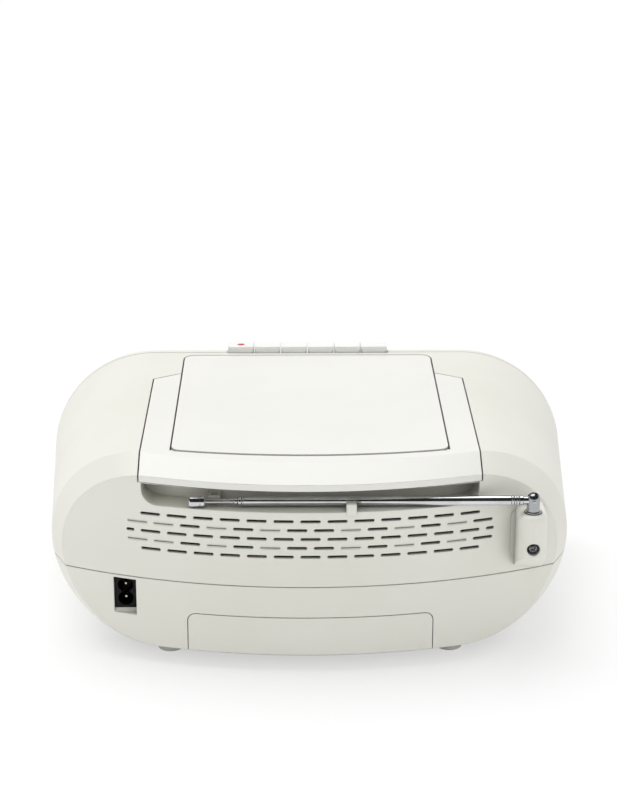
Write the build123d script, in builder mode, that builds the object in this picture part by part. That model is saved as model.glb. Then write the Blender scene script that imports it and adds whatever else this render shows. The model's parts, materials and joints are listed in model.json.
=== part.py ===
from build123d import *
from math import atan2, cos, hypot, sin, sqrt
import os

# Portable CD radio cassette player, +Z up, +Y towards its rear, origin on the ground under its middle.
# All sizes are millimetres. "Roof" is the sloping top plane of the cabinet.

# Cabinet
BODY_WIDTH = 350.0
BODY_DEPTH = 228.8
FOOT_HEIGHT = 3.0
FRONT_HEIGHT = 135.2
SIDE_TAPER = 0.098
TOP_TAPER = 0.0511
CHEEK_HEIGHT = 65.0
REAR_BOW = 326.6
PANEL_DEPTH = 15.4
PANEL_EDGE = 12.0
WALL = 2.5
REAR_CHAMFER_UP = 8.0
REAR_CHAMFER_IN = 16.0
SEAM_HEIGHT = 52.0
GROOVE = 0.5
GROOVE_DEPTH = 0.6
SLIP = 0.3
FIT = 0.08

REAR_Y = BODY_DEPTH / 2
FRONT_Y = -BODY_DEPTH / 2
JOINT_Y = FRONT_Y + PANEL_DEPTH
UNDERSIDE = FOOT_HEIGHT
CHEEK_Z = UNDERSIDE + CHEEK_HEIGHT
SEAM_Z = UNDERSIDE + SEAM_HEIGHT
ROOF_Z = UNDERSIDE + FRONT_HEIGHT
BOW_CENTRE_Y = REAR_Y - REAR_BOW
FLOOR_Z = UNDERSIDE + WALL
PANEL_BACK_Y = FRONT_Y + WALL

# CD lid and the well under it
LID_WIDTH = 166.8
LID_FRONT_INSET = 21.9
LID_REAR_INSET = 27.7
LID_REAR_BOW = 400.0
LID_CORNER = 7.0
LID_THICKNESS = 3.0
LID_GAP = 0.9
LID_PIVOT_INSET = 10.7
LID_PIVOT_DEPTH = 3.4
LID_PIN_RADIUS = 1.0
LID_EAR_RADIUS = 2.2
SHELF_DEPTH = 5.5
WELL_RADIUS = 63.0
WELL_OFFSET = 2.1
WELL_DEPTH = 12.0
WELL_WALL = 2.0
BAY_REAR_INSET = 16.7
LUG_RADIUS = 2.2
LUG_WIDTH = 3.6
LATCH_WIDTH = 12.0
LATCH_THICKNESS = 1.6
LATCH_DEPTH = 10.0
LATCH_INSET = 6.0

LID_FRONT_Y = FRONT_Y + LID_FRONT_INSET
LID_REAR_Y = REAR_Y - LID_REAR_INSET
LID_PIVOT_Y = LID_REAR_Y - LID_PIVOT_INSET
WELL_CENTRE_Y = (LID_FRONT_Y + LID_REAR_Y) / 2 - WELL_OFFSET
BAY_REAR_Y = LID_REAR_Y - BAY_REAR_INSET

# Disc drive
HUB_RADIUS = 15.0
HUB_TOP_DEPTH = 8.5
HUB_CAP_RADIUS = 7.3
MOTOR_RADIUS = 12.0
MOTOR_HEIGHT = 10.0
LENS_RADIUS = 3.2
LENS_INNER_X = 24.0
LENS_TRAVEL = 33.5
ROD_DROP = 7.0
ROD_RADIUS = 1.5
ROD_SPREAD = 15.0
SLED_LENGTH = 20.0
SLED_THICKNESS = 7.0
ROD_POST = 4.0
LENS_HEIGHT = 1.6
MOTOR_NECK_RADIUS = 5.0
MOTOR_SHAFT_RADIUS = 1.5
HUB_CAP = 2.4

# Inside the lower cabinet
BOARD_STAND = 4.0
BOARD_THICKNESS = 1.6
STAND_RADIUS = 3.0
FOOT_RADIUS = 8.0
FOOT_SIDE_INSET = 89.0
FOOT_FRONT_INSET = 30.4
FOOT_REAR_INSET = 36.4
POST_RADIUS = 4.5
POST_FRONT_INSET = 94.4
POST_INLET_GAP = 8.0
POST_SIDE_INSET = 40.0
POST_REAR_SIDE_INSET = 57.0
PILOT_RADIUS = 1.25
SCREW_RADIUS = 1.5
SCREW_HEAD_RADIUS = 3.2
SCREW_HEAD = 2.0
SCREW_BITE = 12.0
SCREW_SEAT = 10.0
TRANSFORMER_LOW = 12.0
TRANSFORMER_SIZE = 34.0
TRANSFORMER_FRAME = 6.0
CELL_ROWS = 3
CONTACT_WIDTH = 20.0
CONTACT_THICKNESS = 0.5
CONTACT_SPRING = 7.0
CELL_PITCH = 34.6
TRANSFORMER_BAY_GAP = 9.0
TRANSFORMER_REAR_INSET = 83.4
TRANSFORMER_DEPTH = 42.0
TRANSFORMER_WIDTH = 40.0
BOARD_WIDTH = 124.0
BOARD_DEPTH = 60.0
BOARD_REAR_INSET = 74.4
HOLE_INSET = 6.0

FOOT_X = BODY_WIDTH / 2 - FOOT_SIDE_INSET
FOOT_ROWS = (FRONT_Y + FOOT_FRONT_INSET, REAR_Y - FOOT_REAR_INSET)
FOOT_SPOTS = [(side * FOOT_X, y) for y in FOOT_ROWS for side in (-1, 1)]
TRANSFORMER_Y = REAR_Y - TRANSFORMER_REAR_INSET
BOARD_Y = REAR_Y - BOARD_REAR_INSET

# Carrying handle
HANDLE_ARM = 17.2
HANDLE_SIDE_GAP = 1.0
HANDLE_DEPTH = 12.0
HANDLE_REACH = 154.4
HANDLE_TIP_OUTER = 5.7
HANDLE_TIP_INNER = 15.9
HANDLE_REAR_GAP = 2.5
HANDLE_GAP = 0.8
HANDLE_SKIN = 3.5
HANDLE_CORNER = 1.2
HANDLE_RIB = 2.5
HANDLE_RIBS = 4
HANDLE_PIVOT_DEPTH = 5.0
HANDLE_PIN_RADIUS = 2.0
LINER = 2.2
LIP = 0.8

HANDLE_WIDTH = LID_WIDTH + 2 * (HANDLE_SIDE_GAP + HANDLE_ARM)
HANDLE_PIVOT_Y = REAR_Y - HANDLE_REACH
HANDLE_TIP_OUTER_Y = HANDLE_PIVOT_Y - HANDLE_TIP_OUTER
HANDLE_TIP_INNER_Y = HANDLE_PIVOT_Y - HANDLE_TIP_INNER

# Finger trough in the rear
TROUGH_WIDTH = HANDLE_WIDTH - 2.6
TROUGH_LIP_HEIGHT = 99.1
TROUGH_DEPTH = 18.0
TROUGH_CORNER = 9.5

# Vent slots
VENT_ROWS = 5
VENT_COLUMNS = 13
VENT_PITCH_X = 15.85
VENT_PITCH_Z = 5.59
VENT_TOP_HEIGHT = 93.5
VENT_LENGTH = 11.85
VENT_END_LENGTH = 4.8
VENT_SLOT = 1.8
VENT_BLIND_DEPTH = 0.9
VENT_CLOSED = (0, 1, 3, 5, 8, 10, 12)

# Aerial
AERIAL_SIDE_INSET = 43.0
AERIAL_REAR_INSET = 10.4
AERIAL_HEIGHT = 102.7
TOWER_WIDTH = 17.2
TOWER_HEIGHT = 95.0
TOWER_FOOT_HEIGHT = 53.5
TOWER_EDGE = 3.2
PAD_WIDTH = 23.0
PAD_PROUD = 1.2
PAD_CORNER = 4.0
PAD_LOW_HEIGHT = 62.0
SCREW_HEIGHT = 74.4
SCREW_RECESS_RADIUS = 3.85
SCREW_RECESS_DEPTH = 6.0
FLANGE_RADIUS = 5.0
FLANGE_THICKNESS = 1.0
KNUCKLE_RADIUS = 3.95
KNUCKLE_TOP_HEIGHT = 107.3
STEM_RADIUS = 2.4
STEM_LENGTH = 12.0
TONGUE_THICKNESS = 2.4
TONGUE_RADIUS = 2.6
AERIAL_PIN_RADIUS = 1.0
AERIAL_RADIUS = 2.95
AERIAL_WALL = 0.4
AERIAL_ROOT = 11.3
AERIAL_STAGE_START = 24.0
AERIAL_LENGTH = 172.4
AERIAL_RING = 2.4
AERIAL_TIP_START = 194.6
AERIAL_TIP_END = 204.1
AERIAL_TIP_RADIUS = 3.2
CLIP_ALONG = 107.9
CLIP_WIDTH = 5.4
CLIP_LOW_HEIGHT = 98.1
CLIP_TOP_HEIGHT = 106.3
REST_ALONG = 189.0
REST_WIDTH = 7.4
REST_TOP_HEIGHT = 104.9

AERIAL_X = AERIAL_SIDE_INSET - BODY_WIDTH / 2
AERIAL_Y = REAR_Y - AERIAL_REAR_INSET
AERIAL_Z = UNDERSIDE + AERIAL_HEIGHT
AERIAL_ROOT_X = AERIAL_X + AERIAL_ROOT
AERIAL_STAGE_START_X = AERIAL_X + AERIAL_STAGE_START
AERIAL_END_X = AERIAL_X + AERIAL_LENGTH
AERIAL_TIP_START_X = AERIAL_X + AERIAL_TIP_START
AERIAL_TIP_X = AERIAL_X + AERIAL_TIP_END
CLIP_X = AERIAL_X + CLIP_ALONG
REST_X = AERIAL_X + REST_ALONG

# Mains inlet
INLET_SIDE_INSET = 63.05
INLET_WIDTH = 13.9
INLET_LOW_HEIGHT = 26.9
INLET_TOP_HEIGHT = 49.8
INLET_SET = 1.988
INLET_BLOCK_DEPTH = 16.0
INLET_SLEEVE = 1.6
INLET_RAMP = 1.9
SOCKET_LOBE_RADIUS = 4.6
SOCKET_PIN_PITCH = 8.6
SOCKET_DEPTH = 13.0
SOCKET_PIN_RADIUS = 1.2

INLET_X = BODY_WIDTH / 2 - INLET_SIDE_INSET

# Battery compartment
DOOR_WIDTH = 147.2
DOOR_HEIGHT = 31.8
DOOR_CORNER = 5.0
DOOR_LENGTH = 114.4
DOOR_GAP = 0.4
BATTERY_BAY_WIDTH = 138.0
BATTERY_BAY_HEIGHT = 35.0
BATTERY_BAY_LENGTH = 122.4

DOOR_FRONT_Y = REAR_Y - DOOR_LENGTH
BATTERY_BAY_FRONT_Y = REAR_Y - BATTERY_BAY_LENGTH
TRANSFORMER_X = BATTERY_BAY_WIDTH / 2 + TRANSFORMER_BAY_GAP + TRANSFORMER_WIDTH / 2

# Piano keys
KEY_COUNT = 6
KEY_PITCH = 18.24
KEY_GAP = 0.6
KEY_TOP_HEIGHT = 139.4
KEY_REAR_INSET = 16.4
KEY_FRONT_INSET = 4.1
KEY_SKIRT_HEIGHT = 121.5
KEY_NOTCH_HEIGHT = 126.0
KEY_SHAFT_OFFSET = 2.0
KEY_SHAFT_HEIGHT = 123.0
KEY_SHAFT_RADIUS = 1.6
KEY_LEVER = 4.0
KEY_LEVER_HALF = 2.5
KEY_SKIRT = 2.4
KEY_CAP_LIFT = 1.0
KEY_ROUNDING = 0.8

KEY_REAR_Y = FRONT_Y + KEY_REAR_INSET
KEY_FRONT_Y = FRONT_Y + KEY_FRONT_INSET
KEY_SHAFT_Y = (KEY_REAR_Y + WELL_CENTRE_Y - WELL_RADIUS - WELL_WALL) / 2 + KEY_SHAFT_OFFSET

# Cassette compartment
CASSETTE_WIDTH = 102.4
CASSETTE_HEIGHT = 63.8
CASSETTE_DOOR_MARGIN = 4.2
CASSETTE_DOOR_LOW = 44.0
CASSETTE_DOOR_TOP = 117.4
CASSETTE_BEAD = 3.0
CASSETTE_POCKET = 13.0
CASSETTE_PIN_RADIUS = 1.5
CASSETTE_SHELF = 0.5
CASSETTE_SKIN = 1.5
CASSETTE_LIP = 6.0
CASSETTE_GUIDE = 48.0
PIN_EAR = 4.0
WINDOW_WIDTH = 70.0
WINDOW_LOW = 70.0
WINDOW_TOP = 98.0
DECK_INSET = 19.4
DECK_THICKNESS = 2.0
DECK_EDGE = 2.5
DECK_LOW = 50.0
DECK_TOP = 122.0
DECK_POST_GAP = 6.1
DECK_POST_LOW = 57.0
DECK_POST_TOP = 116.0
DECK_POST_RADIUS = 2.4
SHAFT_INSET = 1.5
SPINDLE_SPACING = 42.5
SPINDLE_HEIGHT = 80.0
SPINDLE_RADIUS = 3.0
SPINDLE_SPLINE = 1.2
SPINDLE_DISC = 9.0
SPINDLE_PLATE = 2.0
SPINDLE_TIP = 9.0
SPLINE_END = 2.0
CAPSTAN_X = 22.5
CAPSTAN_HEIGHT = 104.0
CAPSTAN_RADIUS = 1.25
FLYWHEEL_RADIUS = 15.0
FLYWHEEL_STAND = 5.5
FLYWHEEL_THICKNESS = 6.0
PULLEY_RADIUS = 4.0
BELT = 1.0
TAPE_MOTOR_X = -34.0
TAPE_MOTOR_HEIGHT = 62.0
TAPE_MOTOR_RADIUS = 13.0
TAPE_MOTOR_LENGTH = 20.0
MOTOR_POST_REACH = 10.0
MOTOR_POST_RADIUS = 2.0
STUD_X = 27.5
STUD_Z = 110.0
STUD_RADIUS = 1.2
STUD_LENGTH = 3.5
HEAD_HALF = 6.0
HEAD_TRAVEL = 6.0
ROLLER_RADIUS = 4.5
CARRIAGE_HALF = 31.0
CARRIAGE_DROP = 10.0
CARRIAGE_PIN = 1.0

CASSETTE_DOOR_WIDTH = CASSETTE_WIDTH + 2 * CASSETTE_DOOR_MARGIN
DECK_POST_X = CASSETTE_DOOR_WIDTH / 2 + DECK_POST_GAP
DECK_HALF = DECK_POST_X + DECK_EDGE
SHAFT_HALF = DECK_POST_X - SHAFT_INSET
DECK_Y = FRONT_Y + DECK_INSET
SPINDLE_TIP_Y = DECK_Y - SPINDLE_TIP
FLYWHEEL_Y = (DECK_Y + FLYWHEEL_STAND, DECK_Y + FLYWHEEL_STAND + FLYWHEEL_THICKNESS)

# Speakers
SPEAKER_DOOR_GAP = 13.1
SPEAKER_SIDE_GAP = 18.5
SPEAKER_HEIGHT = 66.0
GRILLE_RIM = 4.0
GRILLE_SLOTS = 9
GRILLE_SLOT = 3.2
BASKET_NECK = 30.0
BASKET_DEPTH = 24.0
BASKET_METAL = 2.0
MAGNET_RADIUS = 25.0
MAGNET_DEPTH = 14.0
CONE_NECK = 12.0
CONE_DEPTH = 16.0
CONE_PAPER = 0.8
CONE_DOME = 2.0

GRILLE_RADIUS = (BODY_WIDTH / 2 - CASSETTE_DOOR_WIDTH / 2 - SPEAKER_DOOR_GAP - SPEAKER_SIDE_GAP) / 2
SPEAKER_X = CASSETTE_DOOR_WIDTH / 2 + SPEAKER_DOOR_GAP + GRILLE_RADIUS

# Controls under the cassette door
CONTROL_RECESS = 2.0
CONTROL_HALF = 33.0
CONTROL_RIM = 1.0
CONTROL_LOW = 18.6
CONTROL_TOP = 43.6
DISPLAY_WIDTH = 46.0
DISPLAY_LOW = 28.0
DISPLAY_TOP = 39.6
DISPLAY_SET = 1.0
LCD_MARGIN = 1.5
LCD_DEPTH = 5.0
BUTTON_COUNT = 4
BUTTON_WIDTH = 13.0
BUTTON_DROP = 6.0
BUTTON_PITCH = 16.0
BUTTON_HEIGHT = 20.0
BUTTON_FLANGE = 1.2
BUTTON_RIM = 1.0
KNOB_X = 47.0
KNOB_HEIGHT = 30.4
KNOB_RADIUS = 8.4
KNOB_RECESS = 8.0
KNOB_ROUNDING = 0.8
KNOB_MARK = 2.0
KNOB_MARK_DEPTH = 1.0
KNOB_WELL_RADIUS = 9.4
KNOB_WALL = 1.6
KNOB_SHAFT_RADIUS = 3.0
POT_DEPTH = 8.0
SWITCH_X = 47.0
SWITCH_HEIGHT = 15.4
SWITCH_TRAVEL = 10.0
SWITCH_CAP = 3.2
SWITCH_STEM = 1.6
SWITCH_BAY = 13.0


def half_width(y):
    """Half the cabinet's width at y: it narrows evenly from the front panel to the rear."""
    return BODY_WIDTH / 2 - SIDE_TAPER * max(0.0, y - JOINT_Y)


def roof_z(y):
    """Height of the roof at y: it falls evenly from the front panel to the rear."""
    return ROOF_Z - TOP_TAPER * max(0.0, y - JOINT_Y)


def roof(depth):
    """Plane parallel to the roof, depth below it, with its own y axis running rearwards."""
    surface = Plane(origin=(0, 0, ROOF_Z + TOP_TAPER * JOINT_Y), x_dir=(1, 0, 0), z_dir=(0, TOP_TAPER, 1))
    return surface.offset(-depth)


def tube_section(y, inset):
    """Cross-section at y: flat top and bottom, cheeks of two arcs that meet at the widest line."""
    wide = half_width(y) - inset
    upper = roof_z(y) - CHEEK_Z - inset
    lower = CHEEK_Z - UNDERSIDE - inset
    with BuildSketch(Plane.XZ.offset(-y)) as section:
        with BuildLine():
            Line((lower - wide, CHEEK_Z - lower), (wide - lower, CHEEK_Z - lower))
            CenterArc((wide - lower, CHEEK_Z), lower, -90, 90)
            CenterArc((wide - upper, CHEEK_Z), upper, 0, 90)
            Line((wide - upper, CHEEK_Z + upper), (upper - wide, CHEEK_Z + upper))
            CenterArc((upper - wide, CHEEK_Z), upper, 90, 90)
            CenterArc((lower - wide, CHEEK_Z), lower, 180, 90)
        make_face()
    return section.sketch


def bow_y(x, depth):
    """Y of the arc that runs depth inside the bowed rear face, at x."""
    return BOW_CENTRE_Y + sqrt((REAR_BOW - depth) ** 2 - x**2)


def rear_plan(inset):
    """Plan of the cabinet with its bowed rear edge."""
    half = BODY_WIDTH / 2
    with BuildSketch() as plan:
        with BuildLine():
            corner = (half, bow_y(half, inset))
            far_corner = (-half, bow_y(half, inset))
            Polyline(far_corner, (-half, JOINT_Y), (half, JOINT_Y), corner)
            ThreePointArc(corner, (0, bow_y(0, inset)), far_corner)
        make_face()
    return plan.sketch


def rear_band(half, depth):
    """Plan of a band along the rear: from the arc at that depth to just outside the cabinet."""
    outside = REAR_Y + WALL
    with BuildSketch() as band:
        with BuildLine():
            corner = (half, bow_y(half, depth))
            far_corner = (-half, bow_y(half, depth))
            Polyline(far_corner, (-half, outside), (half, outside), corner)
            ThreePointArc(corner, (0, bow_y(0, depth)), far_corner)
        make_face()
    return band.sketch


def cabinet_form(inset):
    """Closed form of both cabinet halves, from the front panel back to the chamfered, bowed rear."""
    with BuildPart() as form:
        loft([tube_section(JOINT_Y, inset), tube_section(REAR_Y + PANEL_DEPTH, inset)], ruled=True)
        extrude(rear_plan(inset), amount=ROOF_Z + WALL, mode=Mode.INTERSECT)
        rear = form.faces().sort_by(Axis.Y)[-1]
        chamfer(rear.edges(), length=REAR_CHAMFER_UP, length2=REAR_CHAMFER_IN, reference=rear)
    return form.part


def panel_form(inset):
    """Closed form of the front panel, with its rounded rim."""
    with BuildPart() as form:
        loft([tube_section(JOINT_Y, inset), tube_section(FRONT_Y + inset, inset)], ruled=True)
        face = form.faces().sort_by(Axis.Y)[0]
        fillet(face.edges(), PANEL_EDGE - inset)
    return form.part


def lid_outline(grow, rear_grow, corner=LID_CORNER):
    """The lid's outline on the roof, grown at front and sides, and by rear_grow at its bowed rear edge."""
    half = LID_WIDTH / 2 + grow
    bow = LID_REAR_BOW
    rear = LID_REAR_Y + rear_grow
    side_rear = rear - bow + sqrt(bow**2 - half**2)
    front = LID_FRONT_Y - grow
    with BuildSketch() as outline:
        with BuildLine():
            Polyline((-half, side_rear), (-half, front), (half, front), (half, side_rear))
            ThreePointArc((half, side_rear), (0, rear), (-half, side_rear))
        make_face()
        fillet(outline.vertices(), corner + grow)
    return outline.sketch


def handle_zone(gap, reach):
    """Plan of the handle's outer edge: slanted arm tips in front, out past the rear face."""
    half = HANDLE_WIDTH / 2 + gap
    inner = LID_WIDTH / 2 + LID_GAP
    slope = (HANDLE_TIP_OUTER_Y - HANDLE_TIP_INNER_Y) / HANDLE_ARM
    outer_y = HANDLE_TIP_OUTER_Y - gap + slope * gap
    inner_y = HANDLE_TIP_INNER_Y - gap - slope * gap
    with BuildSketch() as zone:
        with BuildLine():
            Polyline(
                (-half, reach),
                (-half, outer_y),
                (-inner + gap, inner_y),
                (inner - gap, inner_y),
                (half, outer_y),
                (half, reach),
                close=True,
            )
        make_face()
    return zone.sketch


def slab(x, y, z, mode=Mode.ADD):
    """A rectangular block between the given limits, in the block being built."""
    centre = ((x[0] + x[1]) / 2, (y[0] + y[1]) / 2, (z[0] + z[1]) / 2)
    with Locations(centre):
        Box(x[1] - x[0], y[1] - y[0], z[1] - z[0], mode=mode)


def rod_x(y, z, radius, x, mode=Mode.ADD):
    """A round bar or bore along X."""
    with BuildSketch(Plane.YZ.offset(x[0])) as disc:
        with Locations((y, z)):
            Circle(radius)
    extrude(disc.sketch, amount=x[1] - x[0], mode=mode)


def rod_y(x, z, radius, y, mode=Mode.ADD):
    """A round bar or bore along Y, from the larger y forwards."""
    with BuildSketch(Plane.XZ.offset(-y[1])) as disc:
        with Locations((x, z)):
            Circle(radius)
    extrude(disc.sketch, amount=y[1] - y[0], mode=mode)


def rod_z(x, y, radius, z, mode=Mode.ADD):
    """A round bar or bore along Z."""
    with BuildSketch(Plane.XY.offset(z[0])) as disc:
        with Locations((x, y)):
            Circle(radius)
    extrude(disc.sketch, amount=z[1] - z[0], mode=mode)


def cone_x(y, z, radii, x, mode=Mode.ADD):
    """A round frustum along X with a radius at each end."""
    with BuildSketch(Plane.YZ.offset(x[0])) as near:
        with Locations((y, z)):
            Circle(radii[0])
    with BuildSketch(Plane.YZ.offset(x[1])) as far:
        with Locations((y, z)):
            Circle(radii[1])
    loft([near.sketch, far.sketch], mode=mode)


outer_form = cabinet_form(0)
inner_form = cabinet_form(WALL)

# Parting lines: a groove round the seam of the two halves, and one round the joint with the front panel
with BuildPart() as grooves:
    slab((-BODY_WIDTH, BODY_WIDTH), (FRONT_Y, REAR_Y + WALL), (SEAM_Z - GROOVE, SEAM_Z))
    slab((-BODY_WIDTH, BODY_WIDTH), (FRONT_Y, JOINT_Y + GROOVE), (0, ROOF_Z + WALL))
    add(cabinet_form(GROOVE_DEPTH), mode=Mode.SUBTRACT)

# Handle: arms and bar are one U-shaped slice of the cabinet's own skin
handle_half = HANDLE_WIDTH / 2
arm_inner = handle_half - HANDLE_ARM
handle_pivot_z = roof_z(HANDLE_PIVOT_Y) - HANDLE_PIVOT_DEPTH
tip_inner_reach = hypot(HANDLE_PIVOT_Y - HANDLE_TIP_INNER_Y, HANDLE_DEPTH - HANDLE_PIVOT_DEPTH)
tip_outer_reach = hypot(HANDLE_PIVOT_Y - HANDLE_TIP_OUTER_Y, HANDLE_DEPTH - HANDLE_PIVOT_DEPTH)
handle_opening = lid_outline(LID_GAP, HANDLE_REAR_GAP, HANDLE_CORNER)
handle_span = REAR_Y + WALL

with BuildPart() as grip_space:
    with BuildSketch(roof(HANDLE_DEPTH + WALL)):
        with Locations((0, REAR_Y)):
            Rectangle(2 * arm_inner, BODY_DEPTH)
        add(lid_outline(LID_GAP + HANDLE_SKIN, HANDLE_REAR_GAP + HANDLE_SKIN), mode=Mode.SUBTRACT)
    extrude(amount=HANDLE_DEPTH + WALL)
    add(cabinet_form(HANDLE_SKIN), mode=Mode.INTERSECT)
    with Locations((0, REAR_Y, ROOF_Z)):
        with GridLocations(2 * arm_inner / (HANDLE_RIBS + 1), 1, HANDLE_RIBS, 1):
            Box(HANDLE_RIB, BODY_DEPTH / 2, BODY_DEPTH / 2, mode=Mode.SUBTRACT)

with BuildPart() as handle:
    with BuildSketch(roof(HANDLE_DEPTH)):
        add(handle_zone(0, handle_span))
        add(handle_opening, mode=Mode.SUBTRACT)
    extrude(amount=HANDLE_DEPTH + WALL)
    add(outer_form, mode=Mode.INTERSECT)
    add(grip_space.part, mode=Mode.SUBTRACT)
    bore = HANDLE_PIN_RADIUS + FIT
    rod_x(HANDLE_PIVOT_Y, handle_pivot_z, bore, (-handle_half, handle_half), mode=Mode.SUBTRACT)

with BuildPart() as handle_pins:
    for side in (-1, 1):
        pin_ends = sorted((side * (arm_inner + SLIP), side * (handle_half + HANDLE_GAP + LINER)))
        rod_x(HANDLE_PIVOT_Y, handle_pivot_z, HANDLE_PIN_RADIUS, pin_ends)


def trough_form(grow):
    """The finger trough under the handle's bar, or with grow the block that lines it."""
    half = TROUGH_WIDTH / 2 + grow
    low = UNDERSIDE + TROUGH_LIP_HEIGHT - grow
    top = roof_z(REAR_Y) - HANDLE_DEPTH
    with BuildPart() as form:
        with BuildSketch(Plane.XZ.offset(-REAR_Y - WALL)) as opening:
            with Locations((0, (low + top) / 2)):
                Rectangle(2 * half, top - low)
            fillet(opening.vertices().group_by(Axis.Y)[0], TROUGH_CORNER + grow)
        extrude(amount=BODY_DEPTH / 2)
        extrude(rear_band(half, TROUGH_DEPTH + grow), amount=ROOF_Z, mode=Mode.INTERSECT)
    return form.part


# Upper cabinet: shell with the lid's pocket, the handle's channel, the trough, vents and aerial tower
island_half = arm_inner - SLIP
bay_half = island_half - LINER
lid_pivot_z = roof_z(LID_PIVOT_Y) - LID_PIVOT_DEPTH
ear_rear_y = LID_PIVOT_Y + LID_EAR_RADIUS
channel_depth = HANDLE_DEPTH + SLIP
trough_lining = trough_form(LINER)
trough_space = trough_form(0)


def tip_cones(grow, margin):
    """The room that the turning arm tips sweep, as cones about the handle's pivot."""
    with BuildPart() as cones:
        for side in (-1, 1):
            radii = (tip_inner_reach + grow, tip_outer_reach + grow)
            ends = (side * (island_half - margin), side * (handle_half + HANDLE_GAP + margin))
            cone_x(HANDLE_PIVOT_Y, handle_pivot_z, radii, ends)
    return cones.part


tip_lining = tip_cones(2 * SLIP + LINER, LINER)

with BuildPart() as tip_space:
    add(tip_cones(2 * SLIP, 0))
    split(bisect_by=roof(LIP), keep=Keep.BOTTOM)

with BuildPart() as well_lining:
    with BuildSketch(roof(SHELF_DEPTH + LINER)):
        add(lid_outline(LID_GAP + LINER, HANDLE_REAR_GAP))
    extrude(amount=SHELF_DEPTH + 2 * LINER)
    with BuildSketch(roof(channel_depth + LINER)):
        add(handle_zone(HANDLE_GAP + LINER, handle_span))
    extrude(amount=channel_depth + 2 * LINER)
    add(tip_lining)
    add(trough_lining)
    add(outer_form, mode=Mode.INTERSECT)

with BuildPart() as handle_channel:
    with BuildSketch(roof(channel_depth)):
        add(handle_zone(HANDLE_GAP, handle_span))
        with BuildSketch(mode=Mode.SUBTRACT):
            add(lid_outline(LID_GAP - SLIP, HANDLE_REAR_GAP))
            with Locations((0, ear_rear_y - BODY_DEPTH / 2)):
                Rectangle(BODY_WIDTH, BODY_DEPTH, mode=Mode.INTERSECT)
    extrude(amount=channel_depth + WALL)

vent_face = Plane.XZ.offset(-REAR_Y - WALL)


def vent_outlines(closed):
    """Slots of the vent field on the rear: the open ones, or the closed ones of the even rows."""
    with BuildSketch() as slots:
        for row in range(VENT_ROWS):
            z = UNDERSIDE + VENT_TOP_HEIGHT - row * VENT_PITCH_Z
            staggered = row % 2
            count = VENT_COLUMNS + staggered
            for column in range(count):
                blind = bool(staggered and column in VENT_CLOSED)
                if blind == closed:
                    with Locations((((count - 1) / 2 - column) * VENT_PITCH_X, z)):
                        SlotOverall(VENT_LENGTH, VENT_SLOT)
            if row == VENT_ROWS // 2 and not closed:
                inner_edge = (VENT_COLUMNS - 1) / 2 * VENT_PITCH_X + VENT_LENGTH / 2
                end_x = inner_edge + VENT_PITCH_X - VENT_LENGTH + VENT_END_LENGTH / 2
                with Locations((end_x, z), (-end_x, z)):
                    SlotOverall(VENT_END_LENGTH, VENT_SLOT)
    return slots.sketch


with BuildPart() as vent_recesses:
    extrude(vent_face * vent_outlines(True), amount=BODY_DEPTH / 2)
    extrude(rear_band(BODY_WIDTH / 2, VENT_BLIND_DEPTH), amount=ROOF_Z, mode=Mode.INTERSECT)

tower_rear_y = AERIAL_Y + TOWER_WIDTH / 2
tower_top = UNDERSIDE + TOWER_HEIGHT
tower_front_y = bow_y(abs(AERIAL_X) + PAD_WIDTH / 2, WALL) - WALL

pad_z = (UNDERSIDE + PAD_LOW_HEIGHT, tower_top - TOWER_EDGE)

with BuildPart() as tower_pad:
    with BuildSketch(vent_face):
        with Locations((AERIAL_X, (pad_z[0] + pad_z[1]) / 2)):
            RectangleRounded(PAD_WIDTH, pad_z[1] - pad_z[0], PAD_CORNER)
    extrude(amount=REAR_Y + WALL - tower_front_y)
    extrude(rear_plan(-PAD_PROUD), amount=ROOF_Z, mode=Mode.INTERSECT)
    add(inner_form, mode=Mode.SUBTRACT)

with BuildPart() as tower:
    with BuildSketch(Plane.XY.offset(SEAM_Z)):
        with Locations((AERIAL_X, AERIAL_Y)):
            Circle(TOWER_WIDTH / 2)
        with Locations((AERIAL_X, (tower_front_y + AERIAL_Y) / 2)):
            Rectangle(TOWER_WIDTH, AERIAL_Y - tower_front_y)
    extrude(amount=tower_top - SEAM_Z)
    fillet(tower.faces().sort_by(Axis.Z)[-1].edges().sort_by(Axis.Y)[1:], TOWER_EDGE)
    with BuildSketch(Plane.YZ.offset(AERIAL_X - PAD_WIDTH)):
        Polygon(
            (tower_front_y - WALL, SEAM_Z - WALL),
            (tower_rear_y + WALL, SEAM_Z - WALL),
            (tower_rear_y + WALL, UNDERSIDE + TOWER_FOOT_HEIGHT + TOWER_WIDTH),
            (bow_y(AERIAL_X, 0), UNDERSIDE + TOWER_FOOT_HEIGHT),
            (tower_front_y - WALL, UNDERSIDE + TOWER_FOOT_HEIGHT),
            align=None,
        )
    extrude(amount=2 * PAD_WIDTH, mode=Mode.SUBTRACT)

inlet_x = (INLET_X - INLET_WIDTH / 2, INLET_X + INLET_WIDTH / 2)
inlet_face_y = bow_y(inlet_x[1], 0) - INLET_SET
inlet_back_y = inlet_face_y - INLET_BLOCK_DEPTH
post_rows = (
    (POST_SIDE_INSET, FRONT_Y + POST_FRONT_INSET),
    (POST_REAR_SIDE_INSET, inlet_back_y - POST_INLET_GAP),
)
post_spots = [(side * (BODY_WIDTH / 2 - inset), y) for inset, y in post_rows for side in (-1, 1)]

with BuildPart() as roof_posts:
    for spot in post_spots:
        rod_z(*spot, POST_RADIUS, (SEAM_Z, ROOF_Z))
    add(outer_form, mode=Mode.INTERSECT)

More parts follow.
